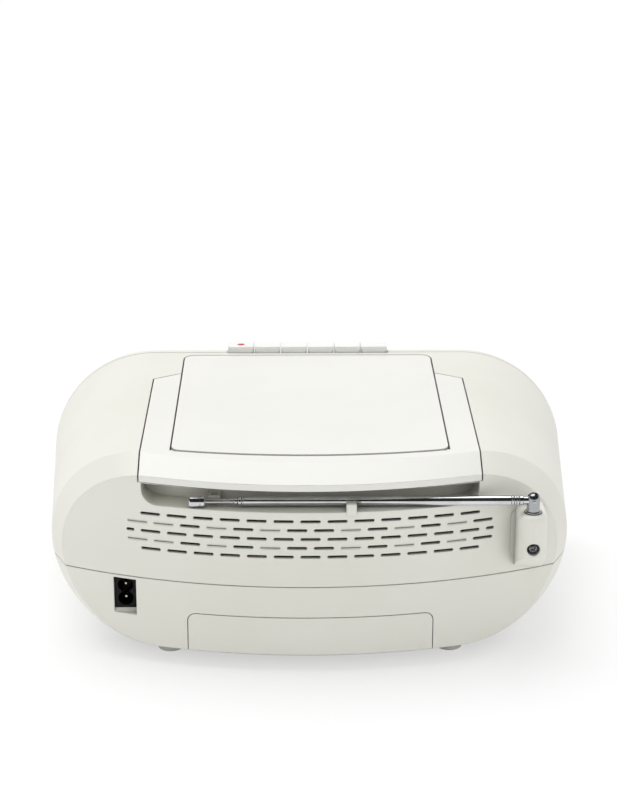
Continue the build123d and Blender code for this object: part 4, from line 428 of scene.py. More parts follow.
# Feet: off-white moulded rubber, which all but disappears against the shells.
PALE_RUBBER = CastRubber("pale_moulded_rubber", "e6e5df", "dcdbd4")
# Cones and dust caps: pressed black paper, felted and quite dull.
PAPER_PULP = CastRubber("pressed_paper_pulp", "1d1c1b", "2b2a28", roughness=0.9, speck=0.8)
# Main board: green solder resist, glossy and even.
LAMINATE = MouldedPlastic("green_solder_resist", "1e5a34", "18502d", roughness=0.28, grain_depth=0.004)
# Cassette and display windows: clear styrene, seen through with a faint veil.
PANE = ClearPane("clear_styrene_pane", "dfe6e8", tint=0.0, cover=0.12)
# Display: grey-green glass, smooth and cool.
LCD_GLASS = MouldedPlastic("lcd_glass", "8f9a86", "8a9581", roughness=0.12, grain_depth=0.0)
# Lit display segments: near black and without gloss.
LCD_INK = MouldedPlastic("lcd_segment", "1c211c", "1a1e1a", roughness=0.2, grain_depth=0.0, specular=0.2)
# Studio floor: white paper, dull and even, which takes a soft pale shadow and no reflection.
PAPER_SWEEP = WhitePaper("white_paper_sweep")

# Which nodes wear which finish.
WORN: dict[Finish, tuple[str, ...]] = {
    WHITE_SHELL: ("upper_cabinet", "lower_cabinet", "front_panel", "battery_door", "antenna_clip"),
    WHITE_LID: ("handle", "cd_lid", "cassette_door"),
    WHITE_KEY: (
        *(f"key_{name}" for name in ("pause", "stop_eject", "fast_forward", "rewind", "play", "record")),
        "supply_spindle",
        "takeup_spindle",
    ),
    GREY_PLASTIC: (
        *(f"cd_{name}_button" for name in ("back", "play", "stop", "next")),
        "rotary_controls",
        "volume_knob",
        "tuning_knob",
        "left_grille",
        "right_grille",
    ),
    PALE_GREY: ("cd_bay",),
    DARK_GREY: ("function_switch",),
    BLACK_PLASTIC: ("cd_turntable", "pickup_sled"),
    INLET_NYLON: ("ac_inlet",),
    PANE: ("cassette_window", "display_window"),
    LCD_GLASS: ("lcd_module",),
    LAMINATE: ("main_board",),
    PAINTED_STEEL: ("power_transformer", "left_speaker", "right_speaker"),
    PAPER_PULP: ("left_cone", "right_cone"),
    RUBBER: ("drive_belt", "pinch_roller"),
    PALE_RUBBER: ("feet",),
    ZINC_STEEL: ("cd_motor", "tape_motor", "cassette_deck", "head_carriage", "case_screws"),
    STEEL: (
        "pickup_rods",
        "handle_pins",
        "battery_contacts",
        "ac_pins",
        "key_shaft",
        "flywheel",
        "motor_pulley",
        "tape_head",
    ),
    CAST_NICKEL: ("antenna_swivel",),
    CHROME: ("antenna_tube", "antenna_stage_2", "antenna_stage_3", "antenna_stage_4"),
}
DRESS: dict[str, Finish] = {node: finish for finish, nodes in WORN.items() for node in nodes}


class Select(Enum):
    """What edit mode selects."""

    VERTICES = "VERT"
    EDGES = "EDGE"
    FACES = "FACE"


class Change(Enum):
    """The modifiers that finish a piece."""

    BOOLEAN = "BOOLEAN"
    WEIGHTED_NORMAL = "WEIGHTED_NORMAL"


def corners(node: str) -> tuple[Vector, Vector]:
    """The lowest and highest corners of a CAD node at rest, in mm."""
    low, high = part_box(node)
    return Vector(low) * 1000, Vector(high) * 1000


def middle(node: str) -> Vector:
    """The centre of a CAD node's box, in mm."""
    low, high = corners(node)
    return (low + high) / 2


def pick(piece: Piece) -> None:
    """Makes a piece the only one selected, and the active one."""
    bpy.ops.object.select_all(action="DESELECT")
    bpy.context.view_layer.objects.active = piece
    piece.select_set(True)


def to_edit(piece: Piece, mode: Select = Select.VERTICES) -> None:
    """Opens a piece in edit mode with everything selected.

    Args:
        piece: The piece to open.
        mode: What is selected: vertices, edges or faces.
    """
    pick(piece)
    bpy.ops.object.mode_set(mode="EDIT")
    bpy.ops.mesh.select_mode(type=mode.value)
    bpy.ops.mesh.select_all(action="SELECT")


def close_edit(merge: float = 0.0005) -> None:
    """Merges doubles, turns the normals outward and leaves edit mode.

    Args:
        merge: Merge distance in mm.
    """
    bpy.ops.mesh.select_all(action="SELECT")
    bpy.ops.mesh.remove_doubles(threshold=mm(merge))
    bpy.ops.mesh.normals_make_consistent(inside=False)
    bpy.ops.object.mode_set(mode="OBJECT")


def apply_modifier(piece: Piece, kind: Change, **settings: object) -> None:
    """Adds a modifier and applies it.

    Args:
        piece: The piece to change.
        kind: The modifier's type.
        settings: Its settings.
    """
    pick(piece)
    modifier = piece.modifiers.new(kind.name.lower(), kind.value)
    for key, value in settings.items():
        setattr(modifier, key, value)
    bpy.ops.object.modifier_apply(modifier=modifier.name)


def cut_away(piece: Piece, cutter: Piece, **settings: object) -> None:
    """Cuts a cutter out of a piece and deletes it.

    Args:
        piece: The piece to cut.
        cutter: The solid to take away.
        settings: More settings of the boolean.
    """
    apply_modifier(piece, Change.BOOLEAN, object=cutter, operation="DIFFERENCE", solver="EXACT", **settings)
    discard(cutter)


def turned(name: str, profile: Sequence[Point], steps: int) -> Piece:
    """Turns a closed solid about +Z, ring by ring.

    Args:
        name: The piece's name.
        profile: (radius, height) points in mm, from the lower end to the upper one.
        steps: Points round the ring.

    Returns:
        The new piece, at the origin.
    """
    radius, height = profile[0]
    bpy.ops.object.select_all(action="DESELECT")
    start = (0, 0, mm(height))
    bpy.ops.mesh.primitive_circle_add(vertices=steps, radius=mm(radius), fill_type="NGON", location=start)
    piece = bpy.context.object
    piece.name = name
    bpy.ops.object.transform_apply(location=True, rotation=True, scale=True)
    to_edit(piece, Select.FACES)
    for next_radius, next_height in profile[1:]:
        lift = (0, 0, mm(next_height - height))
        bpy.ops.mesh.extrude_region_move(TRANSFORM_OT_translate={"value": lift})
        size = next_radius / radius
        bpy.ops.transform.resize(value=(size, size, 1), center_override=(0, 0, 0))
        radius, height = next_radius, next_height
    close_edit()
    return piece


def prism(name: str, outline: list[Point], depth: float, groove: Place | None = None) -> Piece:
    """Raises a closed solid from a flat outline, up along +Z.

    Args:
        name: The piece's name.
        outline: Corners in mm, anticlockwise.
        depth: Its thickness in mm.
        groove: A groove pressed into its top: its share of the length and of the height, and its depth.

    Returns:
        The new piece, at the origin.
    """
    bpy.ops.object.select_all(action="DESELECT")
    bpy.ops.mesh.primitive_circle_add(vertices=len(outline), radius=1.0, fill_type="NGON")
    piece = bpy.context.object
    piece.name = name
    for vertex, (x, y) in zip(piece.data.vertices, outline):
        vertex.co = (mm(x), mm(y), 0)
    to_edit(piece, Select.FACES)
    bpy.ops.mesh.extrude_region_move(TRANSFORM_OT_translate={"value": (0, 0, mm(depth))})
    if groove:
        length, height, sunk = groove
        bpy.ops.mesh.extrude_region_move(TRANSFORM_OT_translate={"value": (0, 0, 0)})
        bpy.ops.transform.resize(value=(length, height, 1), center_override=(0, 0, 0))
        bpy.ops.mesh.extrude_region_move(TRANSFORM_OT_translate={"value": (0, 0, -mm(sunk))})
    close_edit()
    return piece


def oval(width: float, height: float, steps: int = 32) -> list[Point]:
    """Corners of an ellipse about the origin."""
    turn = 2 * math.pi / steps
    return [(width / 2 * math.cos(i * turn), height / 2 * math.sin(i * turn)) for i in range(steps)]


def stadium(length: float, height: float, steps: int = 8) -> list[Point]:
    """Corners of a slot with round ends, about the origin.

    Args:
        length: Its overall length in mm.
        height: Its height.
        steps: Steps round each end.

    Returns:
        The corners, anticlockwise.
    """
    r, run = height / 2, (length - height) / 2
    turns = [-math.pi / 2 + math.pi * i / steps for i in range(steps + 1)]
    right = [(run + r * math.cos(t), r * math.sin(t)) for t in turns]
    return right + [(-x, -y) for x, y in right]


def bar(width: float, height: float, x: float = 0.0, y: float = 0.0) -> list[Point]:
    """Corners of a rectangle about (x, y)."""
    w, h = width / 2, height / 2
    return [(x - w, y - h), (x + w, y - h), (x + w, y + h), (x - w, y + h)]


def wedge(width: float, height: float, x: float = 0.0) -> list[Point]:
    """Corners of a triangle about (x, 0).

    Args:
        width: Its length in mm; it points along +X, or along -X when this is negative.
        height: The height of its base.
        x: Its middle.

    Returns:
        The corners, anticlockwise.
    """
    tip, base = x + width / 2, x - width / 2
    outline = [(base, -height / 2), (tip, 0.0), (base, height / 2)]
    return outline if width > 0 else outline[::-1]


def facing(direction: Place, up: Place = (0, 0, 1)) -> Matrix:
    """Rotation that takes +Z to a direction, and +Y as near as it can to up.

    Args:
        direction: Where +Z goes.
        up: Where +Y leans.

    Returns:
        The rotation.
    """
    z = Vector(direction).normalized()
    x = Vector(up).cross(z).normalized()
    y = z.cross(x)
    return Matrix((x, y, z)).transposed().to_4x4()


def seat(
    piece: Piece,
    body: str,
    finish: Finish,
    place: Place = (0, 0, 0),
    turn: Matrix | None = None,
    smooth: float = 32.0,
) -> Piece:
    """Moves a piece's mesh to its place, gives it its finish and lets it ride a body.

    Args:
        piece: The piece, still at the origin.
        body: The body that carries it.
        finish: Its finish.
        place: Where its origin goes, in mm.
        turn: Its rotation.
        smooth: Edges flatter than this many degrees are shaded smooth.

    Returns:
        The piece.
    """
    matrix = Matrix.Translation([mm(c) for c in place]) @ (turn or Matrix.Identity(4))
    piece.data.transform(matrix)
    if not piece.data.materials:
        piece.data.materials.append(finish.material())
    pick(piece)
    bpy.ops.object.shade_smooth_by_angle(angle=math.radians(smooth))
    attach(piece, body)
    return piece


def discard(piece: Piece) -> None:
    """Deletes a pattern or a cutter."""
    bpy.data.objects.remove(piece, do_unlink=True)


def scatter(pattern: Piece, copies: dict[str, tuple[Place, Matrix]], body: str, finish: Finish) -> Pieces:
    """Seats copies of a pattern, each with its own mesh, and deletes the pattern.

    Args:
        pattern: The piece to copy, at the origin.
        copies: Each copy's name, with its place in mm and its rotation.
        body: The body that carries them.
        finish: Their finish.

    Returns:
        The copies.
    """
    pieces = []
    for name, (place, turn) in copies.items():
        copy = pattern.copy()
        copy.data = pattern.data.copy()
        copy.name = name
        bpy.context.scene.collection.objects.link(copy)
        pieces.append(seat(copy, body, finish, place, turn))
    discard(pattern)
    return pieces


def print_on(
    node: str,
    outlines: list[list[Point]],
    ink: Finish,
    place: Place,
    turn: Matrix,
    depth: float = 0.08,
    smooth: float = 25.0,
) -> Piece:
    """Cuts a sign a hair deep into a copy of a solid and inks its floor.

    Args:
        node: The CAD node that carries the sign.
        outlines: The sign's outlines, in mm.
        ink: Its ink.
        place: The sign's origin on the surface, in mm.
        turn: Rotation that takes +Z out of the surface.
        depth: Depth of the cut in mm.
        smooth: Edges flatter than this many degrees are shaded smooth.

    Returns:
        The marked piece, which stands in for the node.
    """
    source = frame["nodes"][node]
    # Doubled corners are merged first, so that the cuts close.
    piece = bpy.data.objects.new(f"{node}_marked", source.data.copy())
    bpy.context.scene.collection.objects.link(piece)
    to_edit(piece)
    close_edit(0.002)
    for i, outline in enumerate(outlines):
        cutter = prism(f"{node}_cutter_{i}", outline, 2 * depth)
        cutter.data.materials.append(ink.material())
        shift = Matrix.Translation((0, 0, -mm(depth)))
        cutter.data.transform(Matrix.Translation([mm(c) for c in place]) @ turn @ shift)
        cut_away(piece, cutter, material_mode="TRANSFER")
    seat(piece, source["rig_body"], DRESS[node], smooth=smooth)
    apply_modifier(piece, Change.WEIGHTED_NORMAL, keep_sharp=True)
    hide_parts(node)
    return piece


class Side(Enum):
    """A side of the player: the direction a piece on it faces, and what is up there."""

    FRONT = ((0, -1, 0), (0, 0, 1))
    REAR = ((0, 1, 0), (0, 0, 1))
    UNDER = ((0, 0, -1), (0, 1, 0))
    TOP = ((0, 0, 1), (0, 1, 0))
    RIGHT = ((1, 0, 0), (0, 0, 1))

    @property
    def turn(self) -> Matrix:
        """Rotation that lays a piece's +Z out of this side."""
        return facing(*self.value)


@dataclass
class Shells:
    """The moulded, turned and pressed solids: each keeps its own mesh and takes its finish."""

    def build(self) -> Pieces:
        """Dresses every node.

        Returns:
            The dressed nodes.
        """
        nodes = [frame["nodes"][node] for node in DRESS]
        for piece, finish in zip(nodes, DRESS.values()):
            piece.data.materials.clear()
            piece.data.materials.append(finish.material())
        return nodes


@dataclass(frozen=True)
class Stage:
    """One tube of the aerial: its outer radius, its bore and the rolled collar at its mouth, in mm."""

    node: str
    body: str
    radius: float
    bore: float
    collar: float
    collar_start: float
    mouth: float


@dataclass
class Aerial:
    """Turned stages, rivets, a black ring of painted shadow under the swivel, and the clip of the telescopic
    aerial. Sizes are in mm.
    """

    tubes: tuple[Stage, ...] = (
        Stage("antenna_tube", "aerial", 2.95, 2.55, 2.97, 39.4, 40.4),
        Stage("antenna_stage_2", "stage_2", 2.47, 2.07, 2.93, 40.5, 42.8),
        Stage("antenna_stage_3", "stage_3", 1.99, 1.59, 2.45, 42.9, 45.2),
    )
    steps: int = 48
    root_x: float = -125.9
    root_beads: tuple[float, ...] = (-122.7, -119.7)
    bead_radius: float = 3.2
    bead_half: float = 0.8
    bead_lead: float = 0.3
    groove: float = 2.45
    collar_lead: float = 0.35
    bore_end: float = 1.5
    rod_radius: float = 1.51
    rod_ring: Point = (45.3, 47.6)
    rod_ring_radius: float = 2.0
    tip_radius: float = 3.55
    tip_length: float = 10.0
    # Insets from the cap's radius, with distances from its neck and from its end.
    tip_foot: tuple[Point, ...] = (
        (0.7, 0.1), (0.15, 0.5), (0, 1.1), (0, 2.7), (0.25, 2.9), (0.25, 3.3), (0, 3.5)
    )
    tip_dome: tuple[Point, ...] = ((0, 1.6), (0.2, 0.8), (0.7, 0.3), (1.6, 0.05), (2.95, 0))
    rivet_reach: float = 3.7
    rivet: tuple[Point, ...] = ((1.25, 0.0), (1.25, 0.12), (1.0, 0.4), (0.45, 0.55))
    # A thin black ring under the swivel's flange: painted shadow.
    shadow_ring: tuple[Point, ...] = ((5.15, -0.1), (5.35, 0.0), (5.35, 0.3), (5.2, 0.45))
    tower_top: float = 98.0
    clip_width: float = 6.0
    clip_top: float = 107.1
    clip_low: float = 99.9
    clip_foot: float = 101.3
    clip_proud: float = 0.75
    clip_round: float = 0.3

    def build(self) -> Pieces:
        """Makes the aerial.

        Returns:
            Its pieces.
        """
        return [*map(self.tube, self.tubes), self.last_stage(), *self.rivets(), self.clip()]

    @staticmethod
    def rolled(start: float, end: float, radius: float, groove: float, steps: int = 8) -> list[Point]:
        """Profile of a rounded bead that rises from a groove and falls back into one.

        Args:
            start: Where it starts along the axis, in mm.
            end: Where it ends.
            radius: Its radius at the middle.
            groove: Its radius at both ends.
            steps: Steps along it.

        Returns:
            The profile's points.
        """
        centre, half = (start + end) / 2, (end - start) / 2
        turns = [math.pi * i / steps for i in range(steps + 1)]
        rise = radius - groove
        return [(groove + rise * math.sin(t) ** 0.7, centre - half * math.cos(t)) for t in turns]

    def tube(self, stage: Stage) -> Piece:
        """Turns one hollow stage, with root beads on the first one.

        Args:
            stage: The stage's sizes.

        Returns:
            The stage.
        """
        low, _ = corners(stage.node)
        first = stage is self.tubes[0]
        r, start, half = stage.radius, self.root_x if first else low.x, self.bead_half
        profile = [(r - 0.3, start), (r, start + 0.25)]
        for bead in self.root_beads if first else ():
            profile += [(r, bead - half - self.bead_lead)]
            profile += self.rolled(bead - half, bead + half, self.bead_radius, self.groove)
            profile += [(r, bead + half + self.bead_lead)]
        profile += [(r, stage.collar_start - self.collar_lead)]
        profile += self.rolled(stage.collar_start, stage.mouth, stage.collar, stage.bore + 0.05)
        profile += [(stage.bore, stage.mouth), (stage.bore, low.x + self.bore_end)]
        piece = turned(f"{stage.node}_turned", profile, self.steps)
        axis = middle("antenna_tube")
        seat(piece, stage.body, CHROME, (0, axis.y, axis.z), Side.RIGHT.turn, smooth=50)
        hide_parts(stage.node)
        return piece

    def last_stage(self) -> Piece:
        """Turns the last stage with its ring and its grooved, domed end cap.

        Returns:
            The stage.
        """
        low, high = corners("antenna_stage_4")
        rod, cap, end = self.rod_radius, self.tip_radius, high.x
        neck, (ring_start, ring_end) = end - self.tip_length, self.rod_ring
        profile = [(rod - 0.2, low.x), (rod, low.x + 0.2), (rod, ring_start - 0.05)]
        profile += self.rolled(ring_start, ring_end, self.rod_ring_radius, rod)
        profile += [(rod, ring_end + 0.05), (rod, neck)]
        profile += [(cap - inset, neck + step) for inset, step in self.tip_foot]
        profile += [(cap - inset, end - step) for inset, step in self.tip_dome]
        stage = turned("antenna_last_stage", profile, self.steps)
        axis = middle("antenna_tube")
        seat(stage, "stage_4", CHROME, (0, axis.y, axis.z), Side.RIGHT.turn)
        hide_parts("antenna_stage_4")
        return stage

    def rivets(self) -> Pieces:
        """Sets a black ring under the knuckle's flange, a painted shadow, and a rivet head on each of its
        cheeks.

        Returns:
            The shadow ring and the rivet heads.
        """
        tube, knuckle = middle("antenna_tube"), middle("antenna_swivel")
        # The black ring paints the shadow under the knuckle's flange.
        shadow_ring = turned("swivel_shadow_ring", self.shadow_ring, self.steps)
        seat(shadow_ring, "cabinet", BLACK_PLASTIC, (knuckle.x, tube.y, self.tower_top), Side.TOP.turn)
        heads = {}
        for side, out in ((Side.REAR, 1), (Side.FRONT, -1)):
            at = (knuckle.x, tube.y + out * self.rivet_reach, tube.z)
            heads[f"swivel_rivet_{side.name.lower()}"] = (at, side.turn)
        return [shadow_ring, *scatter(turned("swivel_rivet", self.rivet, steps=24), heads, "swivel", STEEL)]

    def clip(self) -> Piece:
        """Moulds the clip: a jaw on the trough's lip with a tongue that laps the rear face.

        Returns:
            The clip.
        """
        low, high = corners("antenna_clip")
        inner, outer = high.y - self.clip_proud / 2, high.y + self.clip_proud / 2
        outline = [(low.y + 0.1, self.clip_foot), (inner, self.clip_foot), (inner, self.clip_low)]
        outline += [(outer, self.clip_low), (outer, self.clip_top), (low.y + 0.1, self.clip_top)]
        jaw = prism("aerial_clip", outline, self.clip_width)
        to_edit(jaw, Select.EDGES)
        bpy.ops.mesh.bevel(offset=mm(self.clip_round), segments=3)
        close_edit()
        left = middle("antenna_clip").x - self.clip_width / 2
        seat(jaw, "cabinet", WHITE_SHELL, (left, 0, 0), Side.RIGHT.turn)
        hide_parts("antenna_clip")
        return jaw


@dataclass
class Vents:
    """Thin grooved webs of styrene that close the blind slots of the rear vent field. Sizes are in mm."""

    rows: tuple[int, ...] = (1, 3)
    closed: tuple[int, ...] = (0, 1, 3, 5, 8, 10, 12)
    columns: int = 14
    pitch_x: float = 15.85
    pitch_z: float = 5.59
    top_z: float = 96.5
    bow_radius: float = 326.6
    slot_depth: float = 0.9
    web_length: float = 12.05
    web_height: float = 2.0
    web_thickness: float = 0.8
    groove: Place = (0.975, 0.4, 0.62)

    def build(self) -> Pieces:
        """Copies one web into each blind slot.

        Returns:
            The copies.
        """
        _, high = corners("lower_cabinet")
        centre_y = high.y - self.bow_radius
        reach = self.bow_radius - self.slot_depth
        webs = {}
        for row in self.rows:
            for column in self.closed:
                x = ((self.columns - 1) / 2 - column) * self.pitch_x
                out = (x / self.bow_radius, math.sqrt(1 - (x / self.bow_radius) ** 2), 0)
                at = (reach * out[0], centre_y + reach * out[1], self.top_z - row * self.pitch_z)
                webs[f"slot_web_{row}_{column}"] = (at, facing(out))
        web = prism("slot_web", stadium(self.web_length, self.web_height), self.web_thickness, self.groove)
        return scatter(web, webs, "cabinet", WHITE_SHELL)


@dataclass
class Screws:
    """The tower's screw and the four long cabinet screws, cut from one pattern. Sizes are in mm."""

    head_radius: float = 3.2
    shank_radius: float = 1.25
    thread_pitch: float = 0.9
    thread_depth: float = 0.3
    thread_rise: float = 0.35
    thread_start: float = 1.4
    head_dome: tuple[Point, ...] = ((0, 1.25), (0.25, 0.7), (0.9, 0.25), (1.9, 0.04), (2.8, 0))
    cross_arm: Point = (3.6, 0.8)
    cross_depth: float = 1.2
    cross_reach: float = 1.5
    cross_taper: float = 0.45
    cross_turn: float = 0.6
    tower_seat: Place = (-132.0, 106.6, 77.4)
    tower_head: float = 4.4
    tower_bite: float = 12.0
    cabinet_seats: tuple[Point, ...] = ((-135, -20), (135, -20), (-118, 66), (118, 66))
    cabinet_seat_z: float = 45.0
    cabinet_head: float = 2.0
    cabinet_bite: float = 22.0

    def pattern(self, bite: float, height: float) -> Piece:
        """Turns one pan-head screw with a cross recess and a thread.

        Args:
            bite: Length of the shank under the head.
            height: Height of the head.

        Returns:
            The screw, head up, with the head's seat at the origin.
        """
        r, s, rise = self.head_radius, self.shank_radius, self.thread_rise
        root, start = s - self.thread_depth, self.thread_start - bite
        profile = [(self.thread_depth, -bite), (root, start - 0.2)]
        for i in range(int((bite - 2.0) / self.thread_pitch)):
            low = start + self.thread_pitch * i
            profile += [(root, low), (s, low + rise), (root, low + 2 * rise)]
        profile += [(s - 0.25, -0.1), (s + 0.2, 0.0), (r, 0.02)]
        profile += [(r - inset, height - step) for inset, step in self.head_dome]
        screw = turned(f"screw_pattern_{int(bite)}", profile, steps=32)
        for i, turn in enumerate((self.cross_turn, self.cross_turn + math.pi / 2)):
            cutter = prism(f"screw_cutter_{i}", bar(*self.cross_arm), self.cross_reach)
            for vertex in cutter.data.vertices:
                if vertex.co.z < mm(self.cross_reach / 2):
                    vertex.co.x *= self.cross_taper
            sunk = Matrix.Translation((0, 0, mm(height - self.cross_depth)))
            cutter.data.transform(Matrix.Rotation(turn, 4, "Z") @ sunk)
            cut_away(screw, cutter)
        return screw

    def build(self) -> Pieces:
        """Seats the five screws in place of the solid ones.

        Returns:
            The screws.
        """
        short = self.pattern(self.tower_bite, self.tower_head)
        tower = {"tower_screw": (self.tower_seat, Side.REAR.turn)}
        long = self.pattern(self.cabinet_bite, self.cabinet_head)
        cabinet = {
            f"cabinet_screw_{i}": ((x, y, self.cabinet_seat_z), Side.UNDER.turn)
            for i, (x, y) in enumerate(self.cabinet_seats)
        }
        pieces = scatter(short, tower, "cabinet", BLACK_ZINC) + scatter(long, cabinet, "cabinet", ZINC_STEEL)
        for piece in pieces:
            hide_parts("case_screws")
        return pieces


@dataclass
class Inlet:
    """Contact pins of the mains inlet, with rounded ends. Sizes are in mm."""

    pin_radius: float = 1.2
    pin_round: tuple[Point, ...] = ((0, 0.9), (0.2, 0.35), (0.6, 0))

    def build(self) -> Pieces:
        """Turns the two pins, in place of the solid ones.

        Returns:
            The pins.
        """
        low, high = corners("ac_pins")
        r, reach = self.pin_radius, high.y - low.y
        profile = [(r, 0.0), *((r - inset, reach - step) for inset, step in self.pin_round)]
        pins = {
            f"inlet_{name}_pin": (((low.x + high.x) / 2, low.y, height), Side.REAR.turn)
            for name, height in (("upper", high.z - r), ("lower", low.z + r))
        }
        pieces = scatter(turned("contact_pin", profile, steps=28), pins, "cabinet", PIN_NICKEL)
        for piece in pieces:
            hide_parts("ac_pins")
        return pieces


@dataclass
class Signs:
    """Pad prints on the fronts of the piano keys and disc buttons, and the record key's dot. In mm."""

    key_drop: float = 7.9
    dot_size: Point = (5.0, 4.6)
    dot_back: float = 6.7
    height: float = 2.4

    def build(self) -> Pieces:
        """Prints every sign.

        Returns:
            The marked keys and buttons.
        """
        h = self.height
        keys = {
            "key_pause": [bar(0.8, 3.0, -0.9), bar(0.8, 3.0, 0.9)],
            "key_stop_eject": [bar(3.0, 0.7, 0.0, -1.6), [(-1.6, -0.8), (1.6, -0.8), (0.0, 1.6)]],
            "key_fast_forward": [wedge(2.0, 3.0, -1.1), wedge(2.0, 3.0, 1.1)],
            "key_rewind": [wedge(-2.0, 3.0, -1.1), wedge(-2.0, 3.0, 1.1)],
            "key_play": [wedge(2.6, 3.2)],
        }
        buttons = {
            "cd_back_button": [wedge(-1.8, h, 0.6), bar(0.5, h, -0.9)],
            "cd_play_button": [wedge(1.9, h, -1.0), bar(0.5, h, 0.9), bar(0.5, h, 1.9)],
            "cd_stop_button": [bar(2.2, 2.2)],
            "cd_next_button": [wedge(1.8, h, -0.6), bar(0.5, h, 0.9)],
        }
        pieces = []
        for node, outlines in keys.items():
            low, high = corners(node)
            at = (middle(node).x, low.y, high.z - self.key_drop)
            pieces.append(print_on(node, outlines, GREY_INK, at, Side.FRONT.turn))
        low, high = corners("key_record")
        at = (middle("key_record").x, low.y + self.dot_back, high.z)
        pieces.append(print_on("key_record", [oval(*self.dot_size)], RED_INK, at, Side.TOP.turn))
        for node, outlines in buttons.items():
            at = (middle(node).x, corners(node)[0].y, middle(node).z)
            pieces.append(print_on(node, outlines, WHITE_INK, at, Side.FRONT.turn))
        return pieces


class Stroke(Enum):
    """A seven-segment digit's strokes: centre in half widths and half heights, and whether it lies flat."""

    A = (0, 1, True)
    B = (1, 0.5, False)
    C = (1, -0.5, False)
    D = (0, -1, True)
    E = (-1, -0.5, False)
    F = (-1, 0.5, False)
    G = (0, 0, True)


@dataclass
class Display:
    """Seven-segment digits on the display's glass: lit strokes dark, idle ones a faint ghost. In mm."""

    lit: tuple[str, ...] = ("ABCDEF", "AFGCD")
    pitch: float = 7.0
    digit_width: float = 4.2
    digit_height: float = 8.0
    lean: float = 0.1
    stroke_width: float = 0.9
    stroke_depth: float = 0.06

    def build(self) -> Pieces:
        """Makes both digits.

        Returns:
            Their strokes.
        """
        pieces = []
        for place, lit in enumerate(self.lit):
            for stroke in Stroke:
                ink = LCD_INK if stroke.name in lit else LCD_GHOST
                name = f"digit_{place}_{stroke.name.lower()}"
                pieces.append(self.segment(name, stroke, (place - 0.5) * self.pitch, ink))
        return pieces

    def segment(self, name: str, stroke: Stroke, x: float, ink: Finish) -> Piece:
        """Lays one stroke.

        Args:
            name: The piece's name.
            stroke: Which stroke it is.
            x: The digit's centre.
            ink: Its finish.

        Returns:
            The stroke.
        """
        w, h, t = self.digit_width / 2, self.digit_height / 2, self.stroke_width
        across, up, flat = stroke.value
        cx, cz = across * w, up * h
        half, tip = ((2 * w if flat else h) - t) / 2, t / 2
        right = [(half, -tip), (half + tip, 0), (half, tip)]
        outline = [(-half, -tip), *right, (-half, tip), (-half - tip, 0)]
        if not flat:
            outline = [(-b, a) for a, b in outline]
        outline = [(a + cx + self.lean * (b + cz), b + cz) for a, b in outline]
        low, _ = corners("lcd_module")
        at = (x, low.y, middle("display_window").z)
        return seat(prism(name, outline, self.stroke_depth), "cabinet", ink, at, Side.FRONT.turn)


@dataclass
class Speakers:
    """Dust cap of each cone, in mm."""

    cap_back: float = 12.0
    cap: tuple[Point, ...] = ((11.5, 0.0), (11.4, 0.6), (10.0, 2.6), (7.5, 4.2), (4.0, 5.2), (0.8, 5.5))

    def build(self) -> Pieces:
        """Turns both caps.

        Returns:
            The caps.
        """
        caps = {}
        for name in ("left", "right"):
            low, _ = corners(f"{name}_cone")
            centre = middle(f"{name}_cone")
            at = (centre.x, low.y + self.cap_back, centre.z)
            caps[f"{name}_dust_cap"] = (at, Side.FRONT.turn)
        return scatter(turned("dust_cap", self.cap, steps=48), caps, "cabinet", PAPER_PULP)


@dataclass
class DiscDrive:
    """The pickup's lens and the turntable's three clamp balls, on the drive's tilted plane. In mm."""

    centre: Place = (0.0, -5.43, 124.9)
    axis: Place = (0.0, 0.051033, 0.998697)
    lens: tuple[Point, ...] = ((1.9, 0.0), (1.9, 0.25), (1.5, 0.6), (0.9, 0.8), (0.3, 0.86))
    lens_at: Place = (24.0, 0.0, 1.5)
    ball: tuple[Point, ...] = ((0.5, -1.1), (1.0, -0.7), (1.2, 0.0), (1.0, 0.7), (0.5, 1.1))
    balls: int = 3
    ball_ring: float = 6.7
    ball_height: float = 4.9
    ball_start: float = 30.0

    def at(self, x: float, y: float, height: float) -> Place:
        """A place on the drive's own tilted plane.

        Args:
            x: Distance to the side of the turntable's centre, in mm.
            y: Distance behind it.
            height: Height over the well's floor.

        Returns:
            The place in the player's frame, in mm.
        """
        _, ny, nz = self.axis
        cx, cy, cz = self.centre
        return (cx + x, cy + y * nz + height * ny, cz - y * ny + height * nz)

    def build(self) -> Pieces:
        """Makes the lens and the balls.

        Returns:
            The lens and the balls.
        """
        up = facing(self.axis, (0, 1, 0))
        lens = seat(turned("pickup_lens", self.lens, steps=32), "sled", LENS, self.at(*self.lens_at), up)
        balls = {}
        for i in range(self.balls):
            turn = math.radians(self.ball_start + 360 / self.balls * i)
            at = self.at(self.ball_ring * math.cos(turn), self.ball_ring * math.sin(turn), self.ball_height)
            balls[f"clamp_ball_{i}"] = (at, up)
        return [lens, *scatter(turned("clamp_ball", self.ball, steps=20), balls, "turntable", STEEL)]


